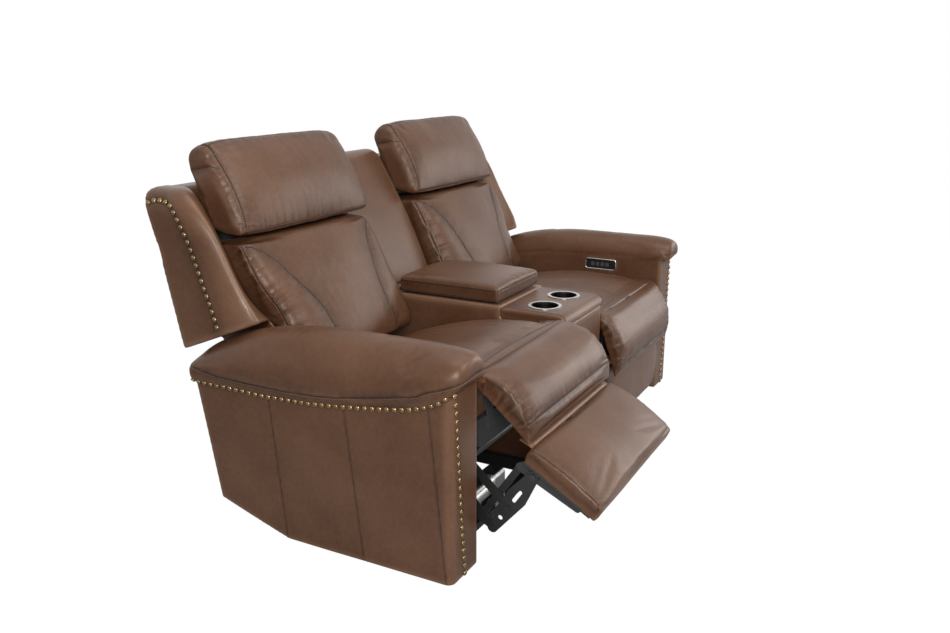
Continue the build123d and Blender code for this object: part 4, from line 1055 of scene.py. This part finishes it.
class LOVESEAT_OT_footrests(bpy.types.Operator):
    """Leather of both footrest pads, with the tuck behind the front pad"""
    bl_idname = "loveseat.footrests"
    bl_label = "Footrests"

    def execute(self, context):
        rule = context.scene.loveseat_leather
        last = 2 * SEAT_MID - REST_IN
        seams = []
        for place in (REST_IN + 5, last - 5):
            edge = ((4, 22), (16, 8), (70, 4), (120, 2), (170, 4), (222, 8), (234, 22))
            line = curve([(place, *rest_point(along, depth)) for along, depth in edge])
            seams.append(Seam(line, 2.0, 3.0, 1.0, 22, 40))
        pad = solid_copy("rest_pad_r")
        points = read(pad)[0]
        low, high = points[:, 2].min(), points[:, 2].max()
        points[:, 2] -= REST_FULLER * MM * np.clip(1 - (points[:, 2] - low) / (high - low), 0, 1)
        put(pad, points)
        form = padded_form(pad, rule.voxel * 0.7, seams, firm, rule.pressure, 1.0)
        tuck = tuck_form()
        for number, side in enumerate(SIDES):
            dress("footrest_leather_" + side, form, ["rest_pad_" + side], "footrest", side, seams,
                  number + 9, 0.9, 0.14, 0.2)
            dress("footrest_tuck_" + side, tuck, [], "footrest", side, [], number + 33, 0.8, 0.05)
        return {"FINISHED"}


def cushion_face(level, place):
    """Point on the back cushion's face at a height and a place across the seat."""
    levels = [row[0] for row in CUSHION_LINE]
    front, outer, crown = (float(np.interp(level, levels, [row[k] for row in CUSHION_LINE]))
                           for k in (1, 2, 3))
    beside = max(0.0, min(place - CUSHION_IN, outer - place))
    rise = (26 + crown * 0.62) * min(1, beside / 60) ** 0.5
    return (place, front + 26 - rise - crown * 0.3 * min(1, beside / 300), level)


def cushion_outer(level):
    """Outer edge of the back cushion at a height."""
    return float(np.interp(level, [row[0] for row in CUSHION_LINE], [row[2] for row in CUSHION_LINE]))


class LOVESEAT_OT_backs(bpy.types.Operator):
    """Leather of both back cushions, wings and rear panels"""
    bl_idname = "loveseat.backs"
    bl_label = "Backs"

    def execute(self, context):
        rule = context.scene.loveseat_leather
        heights = (484, 520, 560, 600, 640, 680, 720, 760, 800, 824)
        inner = [cushion_face(z, CUSHION_IN + 9) for z in heights]
        outer = [cushion_face(z, cushion_outer(z) - 9) for z in heights]
        arcs = []
        for way in (1, -1):
            line = []
            for turn in np.radians(np.linspace(2, 90, 12)):
                level = 822 - 330 * (1 - math.cos(turn))
                edge = CUSHION_IN + 14 if way == 1 else cushion_outer(level) - 14
                line.append(cushion_face(level, edge + way * 143 * math.sin(turn)))
            arcs.append(line)
        seams = [Seam(curve(line), 2.4, 2.4, 3.0, 36, 44, rows=(4.5, -4.5)) for line in (inner, outer)]
        seams += [Seam(curve(line), 2.0, 2.6, 1.1, 30, 60, rows=(3.6,)) for line in arcs]
        cushion = padded_form(solid_copy("back_cushion_r"), rule.voxel * 0.8, seams, plump,
                              rule.pressure, 3.0)
        shell = plain_form(solid_copy("back_shell_r"), rule.panel * 1.25, 4)
        nailed = [Seam(curve([(WING_OUT, y, z) for y, z in WING_NAILS]), 2.4, 9.0, 1.2, 16, 24,
                       shadow_lined=False)]
        for number, side in enumerate(SIDES):
            dress("back_cushion_leather_" + side, cushion, ["back_cushion_" + side], "back", side, seams,
                  number + 11, 1.8, 0.12, 1.2)
            dress("back_shell_leather_" + side, shell, ["back_shell_" + side], "back", side, nailed,
                  number + 13, 0.9, 0.2)
        return {"FINISHED"}


def headrest_form():
    """Headrest without the notches for its hinge arms."""
    loops = []
    for place, inset in ends_of(HEAD_IN, HEAD_OUT, HEAD_ENDS, 0):
        crown = HEAD_CROWN * (1 - abs(2 * (place - HEAD_IN) / (HEAD_OUT - HEAD_IN) - 1) ** 2.4)
        roll = HEAD_ROLL - inset * 0.4
        low = (HEAD_AT[0] + 2, HEAD_AT[1] - roll)
        front = (HEAD_AT[0] - roll, HEAD_AT[1] - 2)
        high = (HEAD_FRONT_TOP[0] + inset - 0.5 * crown, HEAD_FRONT_TOP[1] - inset / 2)
        rear = (HEAD_REAR_TOP[0] - inset * 0.4, HEAD_REAR_TOP[1] - inset / 2)
        loop = [low]
        loop += [tuple(np.array(HEAD_REAR_LOW) + (np.array(rear) - np.array(HEAD_REAR_LOW)) * t)
                 for t in np.linspace(0, 1, 10)[:-1]]
        loop += arc(rear, (HEAD_TOP[0], HEAD_TOP[1] - inset), high, 14)[:-1]
        loop += arc(high, (HEAD_BELLY[0] + inset - crown, HEAD_BELLY[1]), front, 20)[:-1]
        loop += arc(front, (HEAD_AT[0] - roll * HALF, HEAD_AT[1] - roll * HALF), low, 6)[:-1]
        loops.append([(place, y, z) for y, z in loop])
    return lofted(loops)


class LOVESEAT_OT_headrests(bpy.types.Operator):
    """Leather of both headrests"""
    bl_idname = "loveseat.headrests"
    bl_label = "Headrests"

    def execute(self, context):
        rule = context.scene.loveseat_leather
        side_line = [(381, 880), (384, 920), (416, 985), (447, 1040), (480, 1082), (512, 1116), (548, 1110),
                     (577, 1080), (586, 1050)]
        seams = [Seam(curve([(place, y, z) for y, z in side_line]), 2.6, 3.0, 1.6, 26, 40, rows=(4.5, -4.5))
                 for place in (HEAD_IN + 18, HEAD_OUT - 18)]
        for place in (HEAD_IN - 4, HEAD_OUT + 4):
            line = curve([(place, 574, 1034), (place, 510, 1046), (place, 452, 1062)])
            seams.append(Seam(line, 1.8, 2.6, 0.4, 16, 40))
        across = np.linspace(HEAD_IN + 20, HEAD_OUT - 20, 9)
        seams.append(Seam(curve([(x, 514, 1119) for x in across]), 1.8, 2.6, 0.8, 26, 50))
        seams.append(Seam(curve([(x, 379, 862) for x in across]), 2.0, 2.6, 1.2, 30, 44, rows=(4.0,)))
        form = padded_form(headrest_form(), rule.voxel * 0.8, seams, plump, rule.pressure, 3.0, 3)
        for number, side in enumerate(SIDES):
            dress("headrest_leather_" + side, form, ["headrest_" + side], "head", side, seams,
                  number + 15, 1.6, 0.12, 1.0)
        return {"FINISHED"}


class LOVESEAT_OT_console(bpy.types.Operator):
    """Leather of the console: box, deck, fixed back and lid"""
    bl_idname = "loveseat.console"
    bl_label = "Console"

    def execute(self, context):
        rule = context.scene.loveseat_leather
        box = plain_form(solid_copy("console_box"), rule.panel * 1.5, 1)
        dress("console_box_leather", box, ["console_box"], "base", "r", [], 21, 0.8, 0.2)
        deck_seams = [Seam(curve([(way * 162, -156, 558), (way * 162, -300, 558), (way * 162, -352, 558),
                                  (way * 162, -376, 548), (way * 162, -385, 526)]), 1.8, 2.8, 0.6, 20, 50,
                           rows=(way * -3.6,)) for way in (-1, 1)]
        deck = plain_form(solid_copy("console_deck"), 4.5, 2)
        dress("console_deck_leather", deck, ["console_deck"], "base", "r", deck_seams, 22, 0.8, 0.1)
        back = plain_form(solid_copy("console_back"), rule.panel * 1.2, 3)
        dress("console_back_leather", back, ["console_back"], "base", "r", [], 23, 1.2, 0.18)
        ring = [(166, 250), (166, 60), (166, -128), (160, -140), (0, -140), (-160, -140), (-166, -128),
                (-166, 60), (-166, 250)]
        lid_seams = [Seam(curve([(x, y, 607) for x, y in ring]), 1.4, 2.2, 0.9, 22, 50, rows=(4.0,),
                          hold=False)]
        lid = padded_form(solid_copy("lid_pad"), 6.5, lid_seams, even_cap, rule.pressure, 1.0)
        dress("lid_leather", lid, ["lid_pad"], "lid", "r", lid_seams, 24, 1.0, 0.12)
        return {"FINISHED"}


class LOVESEAT_OT_nails(bpy.types.Operator):
    """Brass nail heads along the arms, down their fronts and down the wings"""
    bl_idname = "loveseat.nails"
    bl_label = "Nail heads"

    def execute(self, context):
        rule = context.scene.loveseat_nails
        tree = row_tree("Nail heads", False)
        values = {"Pitch": rule.pitch, "Half width": rule.radius, "Half length": rule.rise,
                  "Segments": 14, "Rings": 8}
        for side in SIDES:
            arm = at_rest(curve([(ARM_OUTER + 1, y, z) for y, z in ARM_NAILS], 6), "base", side)
            front = at_rest(curve([(x, ARM_FRONT - 0.5, z) for x, z in FRONT_NAILS], 6), "base", side)
            wing = at_rest(curve([(WING_OUT + 0.5, y, z) for y, z in WING_NAILS], 6), "back", side)
            for name, skin, lines, body in (
                    ("arm_nails_", "arm_leather_", (arm, front), "base"),
                    ("wing_nails_", "back_shell_leather_", (wing,), "back_" + side)):
                laid = [lay_seam(line, SKINS[skin + side]) for line in lines]
                laid = [(spots + rise * 0.6 * MM, rise) for spots, rise in laid]
                made = rows_along(name + side, laid, tree, values, material_nail())
                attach(made, body)
        return {"FINISHED"}


class LOVESEAT_OT_stitching(bpy.types.Operator):
    """Thread of every sewn row, and the thin dark lines painted along the seams as their grooves' shadow, one
    piece of each for each moving body
    """
    bl_idname = "loveseat.stitching"
    bl_label = "Stitching"

    def execute(self, context):
        rule = context.scene.loveseat_leather
        tree = row_tree("Stitches", True)
        values = {"Pitch": rule.stitch, "Half width": 0.00065, "Half length": 0.0029, "Segments": 6,
                  "Rings": 4}
        if not STITCHES:
            raise RuntimeError("the leather comes before the stitching")
        for body, lines in STITCHES.items():
            made = rows_along("stitches_" + body, lines, tree, values, material_thread())
            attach(made, body)
        # the seam_shadow finish paints the seams' groove shadow as thin dark lines
        dark = speckled("seam_shadow", (0.012, 0.0045, 0.002), (0.03, 0.012, 0.006), 900, (0.6, 0.75))
        for body, lines in SEAM_SHADOWS.items():
            made = rows_along("seams_" + body, lines, seam_shadow_tree(), {"Radius": rule.seam_shadow_radius}, dark)
            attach(made, body)
        return {"FINISHED"}


def ring_mesh(path, radius, count=10):
    """Closed tube round a flat closed path of side view points at the arm's inner face, in millimetres."""
    path = np.array(path, float)
    ahead = np.roll(path, -1, axis=0) - np.roll(path, 1, axis=0)
    ahead /= np.linalg.norm(ahead, axis=1)[:, None]
    points = []
    for (y, z), (dy, dz) in zip(path, ahead):
        for turn in np.linspace(0, 2 * math.pi, count, endpoint=False):
            out, up = radius * math.cos(turn), radius * math.sin(turn)
            points.append(((SWITCH_FACE - up) * MM, (y + dz * out) * MM, (z - dy * out) * MM))
    faces = []
    for i in range(len(path)):
        j = (i + 1) % len(path)
        faces += [(i * count + k, i * count + (k + 1) % count, j * count + (k + 1) % count, j * count + k)
                  for k in range(count)]
    return mesh_of(points, faces)


class LOVESEAT_OT_bezels(bpy.types.Operator):
    """Bright rim round each switch plate"""
    bl_idname = "loveseat.bezels"
    bl_label = "Switch rims"

    def execute(self, context):
        (y0, z0), (y1, z1) = SWITCH_BOX
        path = []
        for cy, cz, start in ((y1, z1, 0), (y0, z1, 90), (y0, z0, 180), (y1, z0, 270)):
            mid = (cy - math.copysign(SWITCH_ROUND, cy - (y0 + y1) / 2),
                   cz - math.copysign(SWITCH_ROUND, cz - (z0 + z1) / 2))
            path += [plus(mid, ray(start + turn, SWITCH_ROUND)) for turn in np.linspace(0, 90, 9)]
        finish = speckled("bezel_chrome", (0.52, 0.51, 0.49), (0.68, 0.67, 0.65), 400, (0.12, 0.2), 1.0)
        for side in SIDES:
            mesh = ring_mesh(path, SWITCH_RIM)
            put(mesh, at_rest(read(mesh)[0], "base", side))
            face_outwards(mesh)
            mesh.shade_smooth()
            mesh.materials.append(finish)
            made = show("switch_rim_" + side, mesh)
            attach(made, "base")
        return {"FINISHED"}


def sheet_mesh(corner, across, along, counts, wave, seed):
    """Cloth sheet as an even grid from a corner and its two sides, in millimetres."""
    corner, across, along = (np.array(v, float) for v in (corner, across, along))
    out = np.cross(across, along)
    out /= np.linalg.norm(out)
    points = [corner + across * i / counts[0] + along * j / counts[1]
              for j in range(counts[1] + 1) for i in range(counts[0] + 1)]
    points = np.array(points) * MM
    points += out * (wave * MM * waves(points, 0.09, seed))[:, None]
    row = counts[0] + 1
    faces = [(j * row + i, j * row + i + 1, (j + 1) * row + i + 1, (j + 1) * row + i)
             for j in range(counts[1]) for i in range(counts[0])]
    return mesh_of(points, faces)


class LOVESEAT_OT_linings(bpy.types.Operator):
    """Dark cloth behind the mechanism and under each seat"""
    bl_idname = "loveseat.linings"
    bl_label = "Linings"

    def execute(self, context):
        for number, side in enumerate(SIDES):
            rear = sheet_mesh((176, 394, 16), (618, 0, 0), (0, 0, 226), (62, 22), 1.5, number)
            under = sheet_mesh((250, -309, 276), (0, 473, 0), (470, 0, 0), (47, 47), 1.5, number + 2)
            for name, body, mesh, flat in (("rear_lining_", "base", rear, (0.618, 0.226)),
                                           ("seat_lining_", "seat", under, (0.47, 0.473))):
                put(mesh, at_rest(read(mesh)[0], body, side))
                if side == "l":
                    mesh.flip_normals()
                mesh.shade_smooth()
                mesh.materials.append(material_lining())
                made = show(name + side, mesh)
                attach(made, body if body == "base" else body + "_" + side)
        return {"FINISHED"}


class LOVESEAT_OT_mechanism(bpy.types.Operator):
    """Finishes of the steel, boards, motor, switches and cups"""
    bl_idname = "loveseat.mechanism"
    bl_label = "Mechanism"

    def execute(self, context):
        steel, lining = material_black_steel(), material_lining()
        finishes = {name: steel for name in ("base_rails", "drive_rail", "carriage", "rear_crank",
                                             "front_crank", "coupler", "control_link")}
        finishes.update({name: lining for name in ("seat_frame", "rest_board", "back_frame", "head_board")})
        finishes.update({
            "drive_motor": material_can(),
            "seat_springs": speckled("spring_wire", (0.2, 0.2, 0.21), (0.34, 0.34, 0.35), 300,
                                     (0.3, 0.45), 1.0),
            "switch_plate": speckled("switch_black", (0.008, 0.008, 0.0085), (0.016, 0.016, 0.017), 500,
                                     (0.14, 0.24)),
            "button": speckled("button_plastic", (0.04, 0.04, 0.041), (0.07, 0.07, 0.072), 800,
                               (0.3, 0.42)),
            "cup_holders": material_cup(),
            "lid_board": speckled("lid_edge", (0.02, 0.009, 0.005), (0.035, 0.016, 0.009), 300,
                                  (0.6, 0.8)),
            "lid_hinge": speckled("hinge_plate", (0.4, 0.4, 0.39), (0.55, 0.55, 0.53), 300,
                                  (0.25, 0.4), 1.0),
        })
        for name, node in NODES.items():
            for start, finish in finishes.items():
                if name.startswith(start):
                    node.data.materials.clear()
                    node.data.materials.append(finish)
        return {"FINISHED"}


class LOVESEAT_OT_studio(bpy.types.Operator):
    """Pale floor, soft light, white surroundings and the camera"""
    bl_idname = "loveseat.studio"
    bl_label = "Studio"

    def execute(self, context):
        rule = context.scene.loveseat_studio
        scene = context.scene
        scene.view_settings.view_transform = "Standard"
        corners = [(-9, -9, 0), (9, -9, 0), (9, 9, 0), (-9, 9, 0)]
        floor = show("studio_floor", mesh_of(corners, [(0, 1, 2, 3)]))
        made, tree, shader = new_material("floor_paper")
        shader.inputs["Base Color"].default_value = (0.62, 0.62, 0.62, 1)
        shader.inputs["Roughness"].default_value = 0.9
        glow = add(tree, "ShaderNodeEmission", {"Strength": 1.11})
        seen = add(tree, "ShaderNodeLightPath")
        share = add(tree, "ShaderNodeMath", {1: 0.88}, operation="MULTIPLY")
        mix = add(tree, "ShaderNodeMixShader")
        wire(tree, (seen, "Is Camera Ray", share, 0), (share, "Value", mix, "Fac"),
             (shader, "BSDF", mix, 1), (glow, "Emission", mix, 2),
             (mix, "Shader", tree.nodes["Material Output"], "Surface"))
        floor.data.materials.append(made)
        world = bpy.data.worlds.new("studio_white")
        scene.world = world
        world.use_nodes = True
        tree = world.node_tree
        sky = tree.nodes["Background"]
        sky.inputs["Color"].default_value = (1, 1, 1, 1)
        seen = add(tree, "ShaderNodeLightPath")
        first = add(tree, "ShaderNodeMath", operation="MAXIMUM")
        second = add(tree, "ShaderNodeMath", operation="MAXIMUM")
        level = add(tree, "ShaderNodeMapRange", {"To Min": rule.sky, "To Max": 1.0})
        wire(tree, (seen, "Is Camera Ray", first, 0), (seen, "Is Glossy Ray", first, 1),
             (first, "Value", second, 0), (seen, "Is Transmission Ray", second, 1),
             (second, "Value", level, "Value"), (level, "Result", sky, "Strength"))
        for name, power, place, aim, size in (
                ("key_light", rule.key, (4.4, -3.2, 1.75), (0, 0, 0.6), 2.8),
                ("high_light", rule.high, (-0.3, -2.9, 3.4), (-0.1, 0, 0.5), 2.0),
                ("top_light", rule.top, (-0.4, -0.3, 3.4), (0, 0, 0.4), 2.2),
                ("side_light", rule.side, (-3.8, -2.2, 2.0), (-0.4, 0, 0.6), 1.3)):
            lamp = bpy.data.lights.new(name, "AREA")
            lamp.energy = power
            lamp.size = size
            lamp_object = bpy.data.objects.new(name, lamp)
            scene.collection.objects.link(lamp_object)
            lamp_object.location = place
            lamp_object.rotation_mode = "QUATERNION"
            lamp_object.rotation_quaternion = (Vector(aim) - Vector(place)).to_track_quat("-Z", "Y")
        lens = bpy.data.cameras.new("camera")
        lens.lens = 34.35
        lens.sensor_width = 36
        lens.sensor_fit = "HORIZONTAL"
        camera = bpy.data.objects.new("camera", lens)
        scene.collection.objects.link(camera)
        camera.location = (-2.756, -1.439, 1.323)
        camera.rotation_mode = "QUATERNION"
        camera.rotation_quaternion = Vector((0.850, 0.4546, -0.2658)).to_track_quat("-Z", "Y")
        scene.camera = camera
        return {"FINISHED"}


class LOVESEAT_PT_panel(bpy.types.Panel):
    """Lists the pieces of the loveseat"""
    bl_label = "Loveseat"
    bl_idname = "LOVESEAT_PT_panel"
    bl_space_type = "VIEW_3D"
    bl_region_type = "UI"
    bl_category = "Loveseat"

    def draw(self, context):
        for step in STEPS:
            self.layout.operator(step.bl_idname)


STEPS = (LOVESEAT_OT_studio, LOVESEAT_OT_arms, LOVESEAT_OT_seats, LOVESEAT_OT_front_pads,
         LOVESEAT_OT_hinge_covers, LOVESEAT_OT_footrests, LOVESEAT_OT_backs, LOVESEAT_OT_headrests,
         LOVESEAT_OT_console, LOVESEAT_OT_nails, LOVESEAT_OT_stitching, LOVESEAT_OT_bezels,
         LOVESEAT_OT_linings, LOVESEAT_OT_mechanism)
SETTINGS = {"loveseat_leather": LeatherSettings, "loveseat_nails": NailSettings,
            "loveseat_studio": StudioSettings}


def register():
    """Adds the settings, steps and panel."""
    for kind in (*SETTINGS.values(), *STEPS, LOVESEAT_PT_panel):
        bpy.utils.register_class(kind)
    for name, kind in SETTINGS.items():
        setattr(bpy.types.Scene, name, bpy.props.PointerProperty(type=kind))


def unregister():
    """Takes them away again."""
    for name in SETTINGS:
        delattr(bpy.types.Scene, name)
    for kind in reversed((*SETTINGS.values(), *STEPS, LOVESEAT_PT_panel)):
        bpy.utils.unregister_class(kind)


def main():
    """Registers the steps and builds every piece in order."""
    register()
    for step in STEPS:
        group, name = step.bl_idname.split(".")
        getattr(getattr(bpy.ops, group), name)()


if __name__ == "__main__":
    main()
